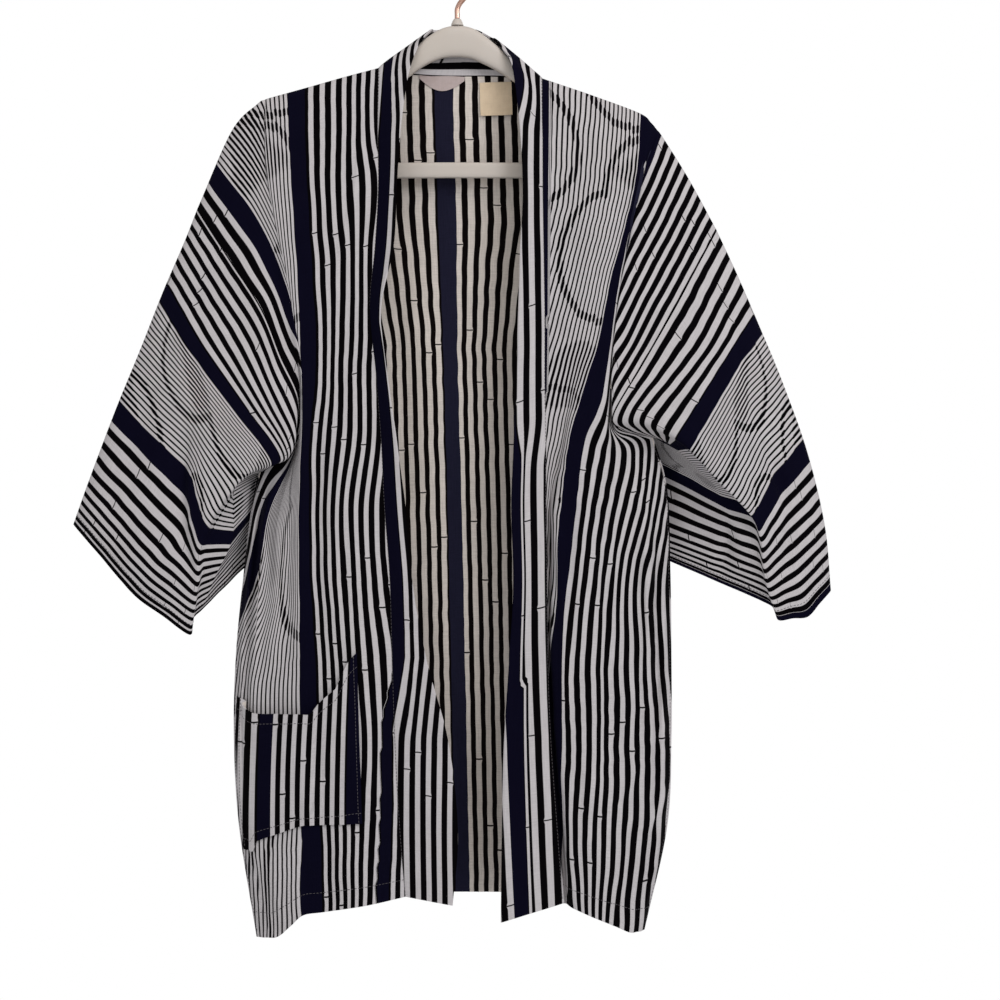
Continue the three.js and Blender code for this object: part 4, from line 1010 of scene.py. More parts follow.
def add_wall(name, sheet, outside, inside):
    """A wall of cloth with an outside, an inside and closed rims."""
    outer = sheet.points
    inner = outer - sheet.normals() * sheet.thickness
    rows, columns = outer.shape[:2]
    count = rows * columns
    if sheet.closed:
        inner[-1] = inner[0]
    index = np.arange(count).reshape(rows, columns)
    if sheet.closed:
        index[-1] = index[0]
    corners = np.stack([index[:-1, :-1], index[1:, :-1], index[1:, 1:], index[:-1, 1:]], axis=-1)
    uv = np.stack([sheet.across, sheet.along], axis=-1) * MM
    spots = np.stack([uv[:-1, :-1], uv[1:, :-1], uv[1:, 1:], uv[:-1, 1:]], axis=-2)
    corners = corners.reshape(-1, 4)
    spots = spots.reshape(-1, 4, 2)
    if sheet.flip:
        corners = corners[:, ::-1]
        spots = spots[:, ::-1]
    faces = [corners, corners[:, ::-1] + count]
    marks = [spots, spots[:, ::-1]]
    slots = [np.zeros(len(corners), int), np.ones(len(corners), int)]
    rims = [(index[:, 0], uv[:, 0], 1), (index[:, -1], uv[:, -1], -1)]
    if not sheet.closed:
        rims += [(index[0], uv[0], -1), (index[-1], uv[-1], 1)]
    for line, places, turn in rims:
        rim = np.stack([line[:-1], line[:-1] + count, line[1:] + count, line[1:]], axis=-1)
        spot = np.stack([places[:-1], places[:-1], places[1:], places[1:]], axis=1)
        if (turn < 0) != sheet.flip:
            rim = rim[:, ::-1]
            spot = spot[:, ::-1]
        faces.append(rim)
        marks.append(spot)
        slots.append(np.zeros(len(rim), int))
    vertices = np.concatenate([outer.reshape(-1, 3), inner.reshape(-1, 3)])
    piece = add_object(name, vertices, np.concatenate(faces).tolist(), [outside, inside])
    mesh = piece.data
    cloth_map = mesh.uv_layers.new(name=CLOTH_MAP)
    cloth_map.data.foreach_set("uv", np.concatenate(marks).ravel())
    mesh.polygons.foreach_set("material_index", np.concatenate(slots))
    mesh.set_sharp_from_angle(angle=math.radians(SHARP_ANGLE))
    return piece


def swept(centres, wide, upright, half_depth, half_height, sides, boxiness):
    """A bar swept along centres; the two directions carry its half sizes."""
    angle = 2 * np.pi * (np.arange(sides) + 0.5) / sides
    c = np.sign(np.cos(angle)) * np.abs(np.cos(angle)) ** boxiness
    n = np.sign(np.sin(angle)) * np.abs(np.sin(angle)) ** boxiness
    return (centres[:, None] + wide[:, None] * (half_depth[:, None] * c)[..., None]
            + upright[:, None] * (half_height[:, None] * n)[..., None])


def ring_faces(rows, sides):
    index = np.arange(rows * sides).reshape(rows, sides)
    after = np.roll(index, -1, axis=1)
    quads = np.stack([index[:-1], after[:-1], after[1:], index[1:]], axis=-1).reshape(-1, 4)
    return quads.tolist() + [index[0][::-1].tolist(), index[-1].tolist()]


def add_sweep(name, rings, material):
    rows, sides = rings.shape[:2]
    piece = add_object(name, rings.reshape(-1, 3), ring_faces(rows, sides), [material])
    turn_outward(piece.data)
    return piece


def turn_outward(mesh):
    shape = bmesh.new()
    shape.from_mesh(mesh)
    bmesh.ops.recalc_face_normals(shape, faces=shape.faces)
    shape.to_mesh(mesh)
    shape.free()


def add_stitches(name, lines, material, sizes):
    """Short raised threads along lines of points and normals, joined in one mesh."""
    vertices = []
    faces = []
    sides = THREAD_SIDES
    turn = 2 * np.pi * np.arange(sides) / sides
    for points, normals in lines:
        run = run_of(points)
        at = np.arange(sizes.stitch_step / MM / 2, run[-1], sizes.stitch_step / MM)
        middle = np.stack([np.interp(at, run, points[:, k]) for k in range(3)], axis=1)
        ahead = np.stack([np.interp(at + 0.5, run, points[:, k]) for k in range(3)], axis=1)
        behind = np.stack([np.interp(at - 0.5, run, points[:, k]) for k in range(3)], axis=1)
        raised = np.stack([np.interp(at, run, normals[:, k]) for k in range(3)], axis=1)
        along = ahead - behind
        along /= np.maximum(np.linalg.norm(along, axis=1, keepdims=True), 1e-9)
        raised /= np.linalg.norm(raised, axis=1, keepdims=True)
        beside = np.cross(along, raised)
        for centre, u, v, w in zip(middle, along, beside, raised):
            base = len(vertices)
            for reach, girth in THREAD_PROFILE:
                core = centre + u * reach * sizes.stitch_length / MM
                for angle in turn:
                    radius = girth * sizes.thread / MM / 2
                    wide = v * math.cos(angle) * THREAD_BREADTH
                    vertices.append(core + radius * (wide + w * math.sin(angle)))
            for k in range(len(THREAD_PROFILE) - 1):
                for s in range(sides):
                    a = base + k * sides + s
                    b = base + k * sides + (s + 1) % sides
                    faces.append([a, b, b + sides, a + sides])
            faces.append([base + s for s in range(sides)][::-1])
            faces.append([base + (len(THREAD_PROFILE) - 1) * sides + s for s in range(sides)])
    return add_object(name, np.array(vertices), faces, [material])


class Graph:
    """Short calls for building a node tree."""

    def __init__(self, tree):
        self.tree = tree

    def add(self, kind, **values):
        node = self.tree.nodes.new(kind)
        for key, value in values.items():
            setattr(node, key, value)
        return node

    def feed(self, socket, value):
        if isinstance(value, bpy.types.NodeSocket):
            self.tree.links.new(value, socket)
        else:
            socket.default_value = value

    def maths(self, operation, *values):
        node = self.add("ShaderNodeMath", operation=operation)
        for socket, value in zip(node.inputs, values):
            self.feed(socket, value)
        return node.outputs[0]

    def blend(self, amount, first, second, mode="MIX"):
        node = self.add("ShaderNodeMix", data_type="RGBA", blend_type=mode)
        self.feed(node.inputs["Factor"], amount)
        self.feed(node.inputs[6], first)
        self.feed(node.inputs[7], second)
        return node.outputs[2]

    def noise(self, vector, scale, detail=2.0, roughness=0.5):
        node = self.add("ShaderNodeTexNoise")
        self.feed(node.inputs["Vector"], vector)
        node.inputs["Scale"].default_value = scale
        node.inputs["Detail"].default_value = detail
        node.inputs["Roughness"].default_value = roughness
        return node.outputs["Fac"]

    def stretch(self, x, y, z=0.0):
        node = self.add("ShaderNodeCombineXYZ")
        self.feed(node.inputs[0], x)
        self.feed(node.inputs[1], y)
        self.feed(node.inputs[2], z)
        return node.outputs[0]

    def ramp(self, value, low, high, start=0.0, end=1.0, kind="LINEAR"):
        node = self.add("ShaderNodeMapRange", interpolation_type=kind)
        for socket, number in zip(node.inputs, (value, low, high, start, end)):
            self.feed(socket, number)
        return node.outputs[0]


def new_group(name, inputs, outputs):
    """A shader node group of numbers, and its graph, input and output nodes."""
    tree = bpy.data.node_groups.new(name, "ShaderNodeTree")
    for label, default in inputs.items():
        socket = tree.interface.new_socket(label, in_out="INPUT", socket_type="NodeSocketFloat")
        socket.default_value = default
    for label in outputs:
        tree.interface.new_socket(label, in_out="OUTPUT", socket_type="NodeSocketFloat")
    graph = Graph(tree)
    given = graph.add("NodeGroupInput").outputs
    result = graph.add("NodeGroupOutput").inputs
    return graph, given, result


def bamboo_stripe_group():
    """Bamboo stripes: upright canes with staggered joints, fine lines with rings, navy bands."""
    g, given, result = new_group("Bamboo Stripe", {
        "Across mm": 0.0, "Along mm": 0.0, "Navy": 0.0, "Fine": 0.0, "Black": 0.0, "Phase": 0.0,
        "Cane Pitch mm": 12.7, "Cane Width mm": 6.2, "Line Pitch mm": 4.7, "Line Width mm": 1.7,
    }, ["White Mask", "Navy Mask"])
    m = g.maths
    drift = g.noise(g.stretch(m("MULTIPLY", given["Across mm"], 0.04),
                              m("MULTIPLY", given["Along mm"], 0.012)), 1.0)
    across = m("ADD", given["Across mm"], m("MULTIPLY", m("SUBTRACT", drift, 0.5), 1.1))
    # Canes: white above black, a little wider at their joints
    place = m("SUBTRACT", m("DIVIDE", across, given["Cane Pitch mm"]), given["Phase"])
    cane = m("FLOOR", place)
    within = m("MULTIPLY", m("SUBTRACT", place, cane), given["Cane Pitch mm"])
    draw = g.add("ShaderNodeTexWhiteNoise", noise_dimensions="1D")
    g.feed(draw.inputs["W"], cane)
    joint = m("FRACT", m("ADD", m("DIVIDE", given["Along mm"], JOINT_PITCH), draw.outputs["Value"]))
    from_joint = m("MULTIPLY", m("SUBTRACT", joint, 0.5), JOINT_PITCH)
    half_cane = m("MULTIPLY", given["Cane Width mm"], 0.5)
    from_middle = m("ABSOLUTE", m("SUBTRACT", within, half_cane))
    bend = m("MULTIPLY", from_middle, 0.06)
    line_place = m("ABSOLUTE", m("ADD", from_joint, bend))
    flare = m("MULTIPLY", g.ramp(line_place, 0.0, 4.0, 1.0, 0.0, "SMOOTHSTEP"), 0.9)
    edge = m("SUBTRACT", from_middle, half_cane)
    cane_white = g.ramp(m("SUBTRACT", edge, flare), -0.25, 0.25, 1.0, 0.0)
    joint_line = g.ramp(line_place, 0.45, 0.85, 1.0, 0.0)
    joint_reach = g.ramp(edge, 0.8, 1.3, 1.0, 0.0)
    cane_white = m("MULTIPLY", cane_white, m("SUBTRACT", 1.0, m("MULTIPLY", joint_line, joint_reach)))
    # Fine lines, thicker where large rings cross them
    ring = g.add("ShaderNodeTexVoronoi", voronoi_dimensions="2D", feature="F1")
    row = m("FLOOR", m("DIVIDE", across, given["Line Pitch mm"]))
    jitter = g.add("ShaderNodeTexWhiteNoise", noise_dimensions="1D")
    g.feed(jitter.inputs["W"], row)
    shifted = m("ADD", given["Along mm"], m("MULTIPLY", jitter.outputs["Value"], 5.0))
    g.feed(ring.inputs["Vector"], g.stretch(m("MULTIPLY", across, 0.0085), m("MULTIPLY", shifted, 0.006)))
    ring.inputs["Scale"].default_value = 1.0
    ring.inputs["Randomness"].default_value = 0.75
    arc = m("ABSOLUTE", m("SUBTRACT", ring.outputs["Distance"], 0.42))
    heavy = g.ramp(arc, 0.018, 0.032, 1.0, 0.0, "SMOOTHSTEP")
    patch = g.noise(g.stretch(m("MULTIPLY", across, 0.011), m("MULTIPLY", shifted, 0.008), 5.0), 1.0, 0.0)
    heavy = m("MAXIMUM", heavy, m("MULTIPLY", g.ramp(patch, 0.60, 0.62), 0.55))
    step = m("FRACT", m("DIVIDE", across, given["Line Pitch mm"]))
    from_line = m("MULTIPLY", m("ABSOLUTE", m("SUBTRACT", step, 0.5)), given["Line Pitch mm"])
    half_line = m("ADD", m("MULTIPLY", given["Line Width mm"], 0.5), m("MULTIPLY", heavy, 0.75))
    fine_white = g.ramp(m("SUBTRACT", from_line, half_line), -0.2, 0.2, 0.0, 1.0)
    white = m("ADD", m("MULTIPLY", cane_white, m("SUBTRACT", 1.0, given["Fine"])),
              m("MULTIPLY", fine_white, given["Fine"]))
    plain = m("SUBTRACT", 1.0, m("MAXIMUM", given["Navy"], given["Black"]))
    g.feed(result["White Mask"], m("MULTIPLY", white, plain))
    g.feed(result["Navy Mask"], given["Navy"])


def plain_weave_group():
    """Plain weave with slubs: height, shade and roughness from cloth coordinates."""
    g, given, result = new_group("Plain Weave", {
        "Across mm": 0.0, "Along mm": 0.0, "Thread mm": 0.55, "Slub": 1.0, "Roughness": 0.85,
    }, ["Height", "Shade", "Roughness"])
    m = g.maths
    turn = m("DIVIDE", 2 * math.pi, given["Thread mm"])
    weft = m("SINE", m("MULTIPLY", given["Across mm"], turn))
    warp = m("SINE", m("MULTIPLY", given["Along mm"], turn))
    weave = m("MULTIPLY", weft, warp)
    warp_slub = g.noise(g.stretch(m("MULTIPLY", given["Across mm"], 1.1),
                                  m("MULTIPLY", given["Along mm"], 0.05)), 1.0, 3.0)
    weft_slub = g.noise(g.stretch(m("MULTIPLY", given["Across mm"], 0.05),
                                  m("MULTIPLY", given["Along mm"], 1.3), 7.0), 1.0, 3.0)
    cloud = g.noise(g.stretch(m("MULTIPLY", given["Across mm"], 0.02),
                              m("MULTIPLY", given["Along mm"], 0.02), 3.0), 1.0, 3.0)
    slub = m("SUBTRACT", m("ADD", m("MULTIPLY", warp_slub, 0.6), m("MULTIPLY", weft_slub, 0.6)), 0.6)
    height = m("ADD", m("MULTIPLY", weave, 0.35), m("MULTIPLY", m("MULTIPLY", slub, given["Slub"]), 1.6))
    shade = m("ADD", 1.0, m("MULTIPLY", m("MULTIPLY", slub, given["Slub"]), 0.5))
    shade = m("ADD", shade, m("MULTIPLY", m("SUBTRACT", cloud, 0.5), 0.14))
    shade = m("ADD", shade, m("MULTIPLY", weave, 0.03))
    g.feed(result["Height"], height)
    g.feed(result["Shade"], shade)
    g.feed(result["Roughness"], m("ADD", given["Roughness"], m("MULTIPLY", slub, -0.25)))


def material_graph(name):
    material = bpy.data.materials.new(name)
    material.use_nodes = True
    material.node_tree.nodes.clear()
    g = Graph(material.node_tree)
    shader = g.add("ShaderNodeBsdfPrincipled")
    output = g.add("ShaderNodeOutputMaterial")
    g.feed(output.inputs["Surface"], shader.outputs[0])
    return material, g, shader


def set_inputs(node, values):
    for label, value in values.items():
        node.inputs[label].default_value = value


def tinted(colour, shares):
    return (*(channel * share for channel, share in zip(colour, shares)), 1)


def relief(g, shader, height, strength, distance):
    """Turns a height in the material into bump."""
    bump = g.add("ShaderNodeBump")
    set_inputs(bump, {"Strength": strength, "Distance": distance})
    g.feed(bump.inputs["Height"], height)
    g.feed(shader.inputs["Normal"], bump.outputs[0])


def object_places(g):
    return g.add("ShaderNodeTexCoord").outputs["Object"]


def woven(g, shader, across, along, settings, tone, strength, distance):
    """Gives a shader the plain weave: its shade over a colour, its roughness and its relief."""
    weave = g.add("ShaderNodeGroup", node_tree=bpy.data.node_groups["Plain Weave"])
    g.feed(weave.inputs["Across mm"], across)
    g.feed(weave.inputs["Along mm"], along)
    set_inputs(weave, settings)
    shade = g.add("ShaderNodeCombineColor")
    for socket in shade.inputs:
        g.feed(socket, weave.outputs["Shade"])
    g.feed(shader.inputs["Base Color"], g.blend(1.0, tone, shade.outputs[0], "MULTIPLY"))
    g.feed(shader.inputs["Roughness"], weave.outputs["Roughness"])
    relief(g, shader, weave.outputs["Height"], strength, distance)


def cloth_places(g):
    """The cloth map's two coordinates in millimetres."""
    source = g.add("ShaderNodeUVMap", uv_map=CLOTH_MAP)
    split = g.add("ShaderNodeSeparateXYZ")
    g.feed(split.inputs[0], source.outputs[0])
    return g.maths("MULTIPLY", split.outputs[0], 1000.0), g.maths("MULTIPLY", split.outputs[1], 1000.0)


def band_ramp(g, across, bands):
    """Reads which printed band a place is in: navy, fine and phase as the three channels."""
    low = bands[0]["start"]
    high = bands[-1]["start"]
    ramp = g.add("ShaderNodeValToRGB")
    ramp.color_ramp.interpolation = "CONSTANT"
    stops = ramp.color_ramp.elements
    while len(stops) > 1:
        stops.remove(stops[-1])
    for k, band in enumerate(bands[:-1]):
        stop = stops[0] if k == 0 else stops.new((band["start"] - low) / (high - low))
        stop.position = (band["start"] - low) / (high - low)
        phase = (band["white"] / CANE_PITCH) % 1.0
        stop.color = (float(band["kind"] == 1), float(band["kind"] == 2), phase, float(band["kind"] != 3))
    g.feed(ramp.inputs[0], g.ramp(across, low, high))
    split = g.add("ShaderNodeSeparateColor")
    g.feed(split.inputs[0], ramp.outputs["Color"])
    black = g.maths("SUBTRACT", 1.0, ramp.outputs["Alpha"])
    return split.outputs[0], split.outputs[1], split.outputs[2], black


def printed_cotton(name, bands, colours, faded, cane_width):
    """Printed cotton, seen from its outside or from its paler inside."""
    material, g, shader = material_graph(name)
    across, along = cloth_places(g)
    navy, fine, phase, black = band_ramp(g, across, bands)
    stripe = g.add("ShaderNodeGroup", node_tree=bpy.data.node_groups["Bamboo Stripe"])
    for label, value in (("Across mm", across), ("Along mm", along), ("Navy", navy), ("Fine", fine),
                         ("Black", black), ("Phase", phase), ("Cane Pitch mm", CANE_PITCH),
                         ("Cane Width mm", cane_width), ("Line Pitch mm", LINE_PITCH)):
        g.feed(stripe.inputs[label], value)
    white = colours.inside_white if faded else colours.white
    dark = colours.inside_black if faded else colours.black
    blue = colours.inside_navy if faded else colours.navy
    ink = g.blend(stripe.outputs["Navy Mask"], (*dark, 1), (*blue, 1))
    printed = g.blend(stripe.outputs["White Mask"], ink, (*white, 1))
    woven(g, shader, across, along, {"Slub": 1.6 if faded else 1.0}, printed, 0.35, 0.0003)
    set_inputs(shader, {"Sheen Weight": 0.01, "Sheen Roughness": 0.4, "Specular IOR Level": 0.04})
    return material


def woven_label(name, colour, thread):
    """Plain label cloth: a fine close weave and faint soiling."""
    material, g, shader = material_graph(name)
    across, along = cloth_places(g)
    soil = g.noise(g.stretch(g.maths("MULTIPLY", across, 0.12), g.maths("MULTIPLY", along, 0.12)), 1.0, 4.0)
    worn = g.blend(g.ramp(soil, 0.45, 0.75, 0.0, 0.5), (*colour, 1), tinted(colour, (0.82, 0.78, 0.72)))
    settings = {"Thread mm": thread, "Slub": 0.5, "Roughness": 0.6}
    woven(g, shader, across, along, settings, worn, 0.4, 0.0002)
    set_inputs(shader, {"Sheen Weight": 0.1})
    return material


def sewing_thread(name, colour):
    """Twisted thread, with its ply as bump."""
    material, g, shader = material_graph(name)
    where = object_places(g)
    ply = g.add("ShaderNodeTexWave", bands_direction="DIAGONAL")
    g.feed(ply.inputs["Vector"], where)
    set_inputs(ply, {"Scale": 900.0, "Distortion": 1.0})
    tone = g.blend(ply.outputs["Fac"], tinted(colour, (0.8, 0.8, 0.8)), (*colour, 1))
    g.feed(shader.inputs["Base Color"], tone)
    set_inputs(shader, {"Roughness": 0.6})
    relief(g, shader, ply.outputs["Fac"], 1.0, 0.0001)
    return material


def moulded_plastic(name, colour):
    """Pale moulded plastic: flow marks, fine scuffs, and grime in a faint cloud."""
    material, g, shader = material_graph(name)
    where = object_places(g)
    cloud = g.noise(where, 18.0, 4.0)
    scuff_map = g.add("ShaderNodeMapping")
    g.feed(scuff_map.inputs["Vector"], where)
    set_inputs(scuff_map, {"Scale": (60.0, 60.0, 900.0)})
    scuff = g.noise(scuff_map.outputs[0], 1.0, 2.0)
    grain = g.noise(where, 1400.0, 2.0)
    tone = g.blend(g.ramp(cloud, 0.4, 0.75, 0.0, 0.6), (*colour, 1), tinted(colour, (0.93, 0.91, 0.88)))
    g.feed(shader.inputs["Base Color"], tone)
    rough = g.maths("ADD", g.ramp(scuff, 0.45, 0.7, 0.30, 0.42), g.maths("MULTIPLY", cloud, 0.12))
    g.feed(shader.inputs["Roughness"], rough)
    relief(g, shader, g.maths("ADD", grain, g.maths("MULTIPLY", scuff, 0.5)), 0.25, 0.0001)
    set_inputs(shader, {"Subsurface Weight": 0.05, "Subsurface Radius": (0.003, 0.0025, 0.002),
                        "Specular IOR Level": 0.45})
    return material


def plated_wire(name, colour):
    """Copper-plated wire, drawn along its length, a little dulled."""
    material, g, shader = material_graph(name)
    where = object_places(g)
    dull = g.noise(where, 220.0, 4.0)
    drawn = g.noise(where, 1500.0, 2.0)
    tone = g.blend(g.ramp(dull, 0.45, 0.7), (*colour, 1), tinted(colour, (0.72, 0.62, 0.55)))
    g.feed(shader.inputs["Base Color"], tone)
    set_inputs(shader, {"Metallic": 1.0})
    g.feed(shader.inputs["Roughness"], g.ramp(dull, 0.3, 0.8, 0.22, 0.42))
    relief(g, shader, drawn, 0.2, 0.00005)
    return material


def pale_floor(name, colour):
    material, g, shader = material_graph(name)
    where = object_places(g)
    cloud = g.noise(where, 3.0, 3.0)
    g.feed(shader.inputs["Base Color"], g.blend(cloud, (*colour, 1), tinted(colour, (0.96, 0.96, 0.96))))
    set_inputs(shader, {"Roughness": 0.8})
    return material


def make_group(name):
    """Makes a shared node group unless it is there."""
    if name not in bpy.data.node_groups:
        {"Bamboo Stripe": bamboo_stripe_group, "Plain Weave": plain_weave_group}[name]()


def cotton_pair(name, bands, colours, cane_width):
    make_group("Bamboo Stripe")
    make_group("Plain Weave")
    return (printed_cotton(name + ", outside", bands, colours, False, cane_width),
            printed_cotton(name + ", inside", bands, colours, True, cane_width))


@functools.lru_cache(maxsize=1)
def coat_sheets(rumpled):
    """Every cloth sheet of the coat, from one rumple size in millimetres."""
    right = front_sheet(RIGHT, RIGHT_FRONT_FOLDS, RIGHT_CREASES, RIGHT_PRINT,
                        RIGHT_CORNER_PRINT, SEEDS["front_right"], rumpled)
    left = front_sheet(LEFT, LEFT_FRONT_FOLDS, LEFT_CREASES, LEFT_PRINT,
                       LEFT_CORNER_PRINT, SEEDS["front_left"], rumpled)
    back = back_sheet(rumpled)
    collar_right, collar_left = collar_sheets(right, left, back, rumpled)
    sleeve_right = sleeve_sheet(RIGHT, RIGHT_SLEEVE_CREASES, mirrored(LEFT_SLEEVE_CREASES),
                                SLEEVE_PRINT_RIGHT, SEEDS["sleeve_right"], rumpled)
    sleeve_left = sleeve_sheet(LEFT, LEFT_SLEEVE_CREASES, mirrored(RIGHT_SLEEVE_CREASES[:3]),
                               SLEEVE_PRINT_LEFT, SEEDS["sleeve_left"], rumpled)
    return {
        "front_right": right, "front_left": left, "back_panel": back,
        "collar_right": collar_right, "collar_left": collar_left,
        "sleeve_right": sleeve_right, "sleeve_left": sleeve_left,
        "pocket": pocket_sheet(right),
    }


def sheets_of(context):
    return coat_sheets(context.scene.happi_sizes.rumple / MM)


def dress(name, sheet, materials):
    """Makes the cloth piece that stands for a node, and hides the node."""
    piece = add_wall(name + "_cloth", sheet, *materials)
    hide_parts(name)


def dress_printed(context, name, title, bands, doubled=False):
    """Dresses a node in its own printed cotton. A doubled piece shows its outside on both faces."""
    outside, inside = cotton_pair(title, bands, context.scene.happi_colours, CANE_WIDTHS[name])
    pair = (outside, outside if doubled else inside)
    dress(name, sheets_of(context)[name], pair)


def length(name, description, value, low, high):
    return FloatProperty(name=name, description=description, default=value, min=low, max=high,
                         subtype="DISTANCE", unit="LENGTH")


class HappiSizes(bpy.types.PropertyGroup):
    """Sizes of the coat's finer details."""

    rumple: length("Rumple", "Height of the low waviness over the cloth", 0.9 * MM, 0, 3 * MM)
    stitch_length: length("Stitch Length", "Length of a stitch on the surface", 2.4 * MM, 1 * MM, 6 * MM)
    stitch_step: length("Stitch Step", "Distance from one stitch to the next", 3.4 * MM, 1.5 * MM, 8 * MM)
    thread: length("Thread", "Thickness of the sewing thread", 0.5 * MM, 0.2 * MM, 1.5 * MM)
    bar_height: length("Bar Height", "Height of the hanger's bar", 15 * MM, 8 * MM, 20 * MM)
    wire: length("Hook Wire", "Thickness of the hook's wire", 5 * MM, 3 * MM, 6 * MM)
    floor_drop: length("Floor Drop", "Distance from the hook to the floor", 1.3, 1.0, 2.5)


def colour(name, description, value):
    return FloatVectorProperty(name=name, description=description, default=value, size=3,
                               min=0, max=1, subtype="COLOR")


class HappiColours(bpy.types.PropertyGroup):
    """Colours of the print, the labels and the hanger."""

    white: colour("White", "Unprinted cotton, outside", (0.60, 0.575, 0.59))
    black: colour("Black", "Black print, outside", (0.0012, 0.0007, 0.0014))
    navy: colour("Navy", "Navy print, outside", (0.0028, 0.0024, 0.011))
    inside_white: colour("Inside White", "Unprinted cotton, inside", (0.72, 0.66, 0.61))
    inside_black: colour("Inside Black", "Black print seen from inside", (0.0035, 0.002, 0.0022))
    inside_navy: colour("Inside Navy", "Navy print seen from inside", (0.014, 0.014, 0.032))
    neck_label: colour("Neck Label", "Woven neck label", (0.52, 0.43, 0.42))
    care_label: colour("Care Label", "Care label", (0.80, 0.64, 0.45))
    thread: colour("Thread", "Sewing thread", (0.10, 0.09, 0.10))
    plastic: colour("Plastic", "Hanger plastic", (0.62, 0.57, 0.52))
    copper: colour("Hook", "Plated hook wire", (0.80, 0.50, 0.40))
    floor: colour("Floor", "Pale floor", (0.86, 0.86, 0.86))


class HAPPI_OT_stage(bpy.types.Operator):
    """Sets the camera, the soft studio light and the pale floor"""

    bl_idname = "happi.stage"
    bl_label = "Stage"
    bl_options = {"REGISTER", "UNDO"}

    def execute(self, context):
        scene = context.scene
        lens = bpy.data.cameras.new("photo_camera")
        lens.sensor_width = 36
        lens.lens = 36 * (CAMERA_AWAY - 0.015) / (PIXEL * 1000 * MM)
        camera = bpy.data.objects.new("photo_camera", lens)
        camera.location = ((500 - ORIGIN_PX) * PIXEL * MM, -CAMERA_AWAY, (ORIGIN_PY - 500) * PIXEL * MM)
        camera.rotation_euler = (math.radians(90), 0, 0)
        context.collection.objects.link(camera)
        scene.camera = camera
        for row in LIGHTS:
            lamp = bpy.data.lights.new(row["name"], "AREA")
            lamp.shape = "DISK"
            lamp.size = row["width"]
            lamp.energy = row["watts"]
            lamp.color = row["tint"]
            light = bpy.data.objects.new(row["name"], lamp)
            light.location = row["place"]
            reach = mathutils.Vector(row["aim"]) - mathutils.Vector(row["place"])
            light.rotation_euler = reach.to_track_quat("-Z", "Y").to_euler()
            context.collection.objects.link(light)
        self.make_world(scene)
        self.make_floor(context, scene)
        scene.view_settings.view_transform = "Standard"
        return {"FINISHED"}

    def make_world(self, scene):
        """A white surround, dimmer for the light it gives than for what is seen of it."""
        world = bpy.data.worlds.new("studio")
        world.use_nodes = True
        world.node_tree.nodes.clear()
        g = Graph(world.node_tree)
        seen = g.add("ShaderNodeLightPath").outputs["Is Camera Ray"]
        sky = g.add("ShaderNodeBackground")
        sky.inputs["Color"].default_value = (1, 1, 1, 1)
        g.feed(sky.inputs["Strength"], g.ramp(seen, 0, 1, WORLD_LIGHT, 1.0))
        output = g.add("ShaderNodeOutputWorld")
        g.feed(output.inputs["Surface"], sky.outputs[0])
        scene.world = world

    def make_floor(self, context, scene):
        half = 1.4
        drop = -scene.happi_sizes.floor_drop
        mesh = bpy.data.meshes.new("floor")
        corners = [(-half, -half, drop), (half, -half, drop), (half, 0.9, drop), (-half, 0.9, drop)]
        mesh.from_pydata(corners, [], [(0, 1, 2, 3)])
        mesh.materials.append(pale_floor("Pale floor", scene.happi_colours.floor))
        floor = bpy.data.objects.new("floor", mesh)
        context.collection.objects.link(floor)


class HAPPI_OT_fronts(bpy.types.Operator):
    """Makes the right and left fronts"""

    bl_idname = "happi.fronts"
    bl_label = "Fronts"
    bl_options = {"REGISTER", "UNDO"}

    def execute(self, context):
        for name, bands in (("front_right", RIGHT_BANDS), ("front_left", LEFT_BANDS)):
            dress_printed(context, name, "Striped cotton " + name, bands)
        return {"FINISHED"}


class HAPPI_OT_back(bpy.types.Operator):
    """Makes the back panel, whose inside shows between the fronts"""

    bl_idname = "happi.back"
    bl_label = "Back"
    bl_options = {"REGISTER", "UNDO"}

    def execute(self, context):
        dress_printed(context, "back_panel", "Striped cotton back", BACK_BANDS)
        return {"FINISHED"}


class HAPPI_OT_sleeves(bpy.types.Operator):
    """Makes both wide sleeves"""

    bl_idname = "happi.sleeves"
    bl_label = "Sleeves"
    bl_options = {"REGISTER", "UNDO"}

    def execute(self, context):
        for name, bands, front in (("sleeve_right", RIGHT_SLEEVE_BANDS, "front_right"),
                                   ("sleeve_left", LEFT_SLEEVE_BANDS, "front_left")):
            dress_printed(context, name, "Striped cotton " + name, bands)
        return {"FINISHED"}


class HAPPI_OT_collar(bpy.types.Operator):
    """Makes the collar band's two halves"""

    bl_idname = "happi.collar"
    bl_label = "Collar"
    bl_options = {"REGISTER", "UNDO"}

    def execute(self, context):
        for name, bands, front in (("collar_right", RIGHT_COLLAR_BANDS, "front_right"),
                                   ("collar_left", LEFT_COLLAR_BANDS, "front_left")):
            dress_printed(context, name, "Collar cotton " + name, bands,
                          doubled=True)
        return {"FINISHED"}


class HAPPI_OT_pocket(bpy.types.Operator):
    """Makes the patch pocket on the right front"""

    bl_idname = "happi.pocket"
    bl_label = "Pocket"
    bl_options = {"REGISTER", "UNDO"}

    def execute(self, context):
        dress_printed(context, "pocket", "Striped cotton pocket", POCKET_BANDS)
        return {"FINISHED"}


class HAPPI_OT_labels(bpy.types.Operator):
    """Makes the two plain labels inside the back neck"""

    bl_idname = "happi.labels"
    bl_label = "Labels"
    bl_options = {"REGISTER", "UNDO"}

    def execute(self, context):
        colours = context.scene.happi_colours
        make_group("Plain Weave")
        back = sheets_of(context)["back_panel"]
        for name, label, tone in (("neck_label", NECK_LABEL, colours.neck_label),
                                  ("care_label", CARE_LABEL, colours.care_label)):
            cloth = woven_label("Label cloth " + name, tone, 0.45)
            dress(name, label_sheet(label, back), (cloth, cloth))
        return {"FINISHED"}


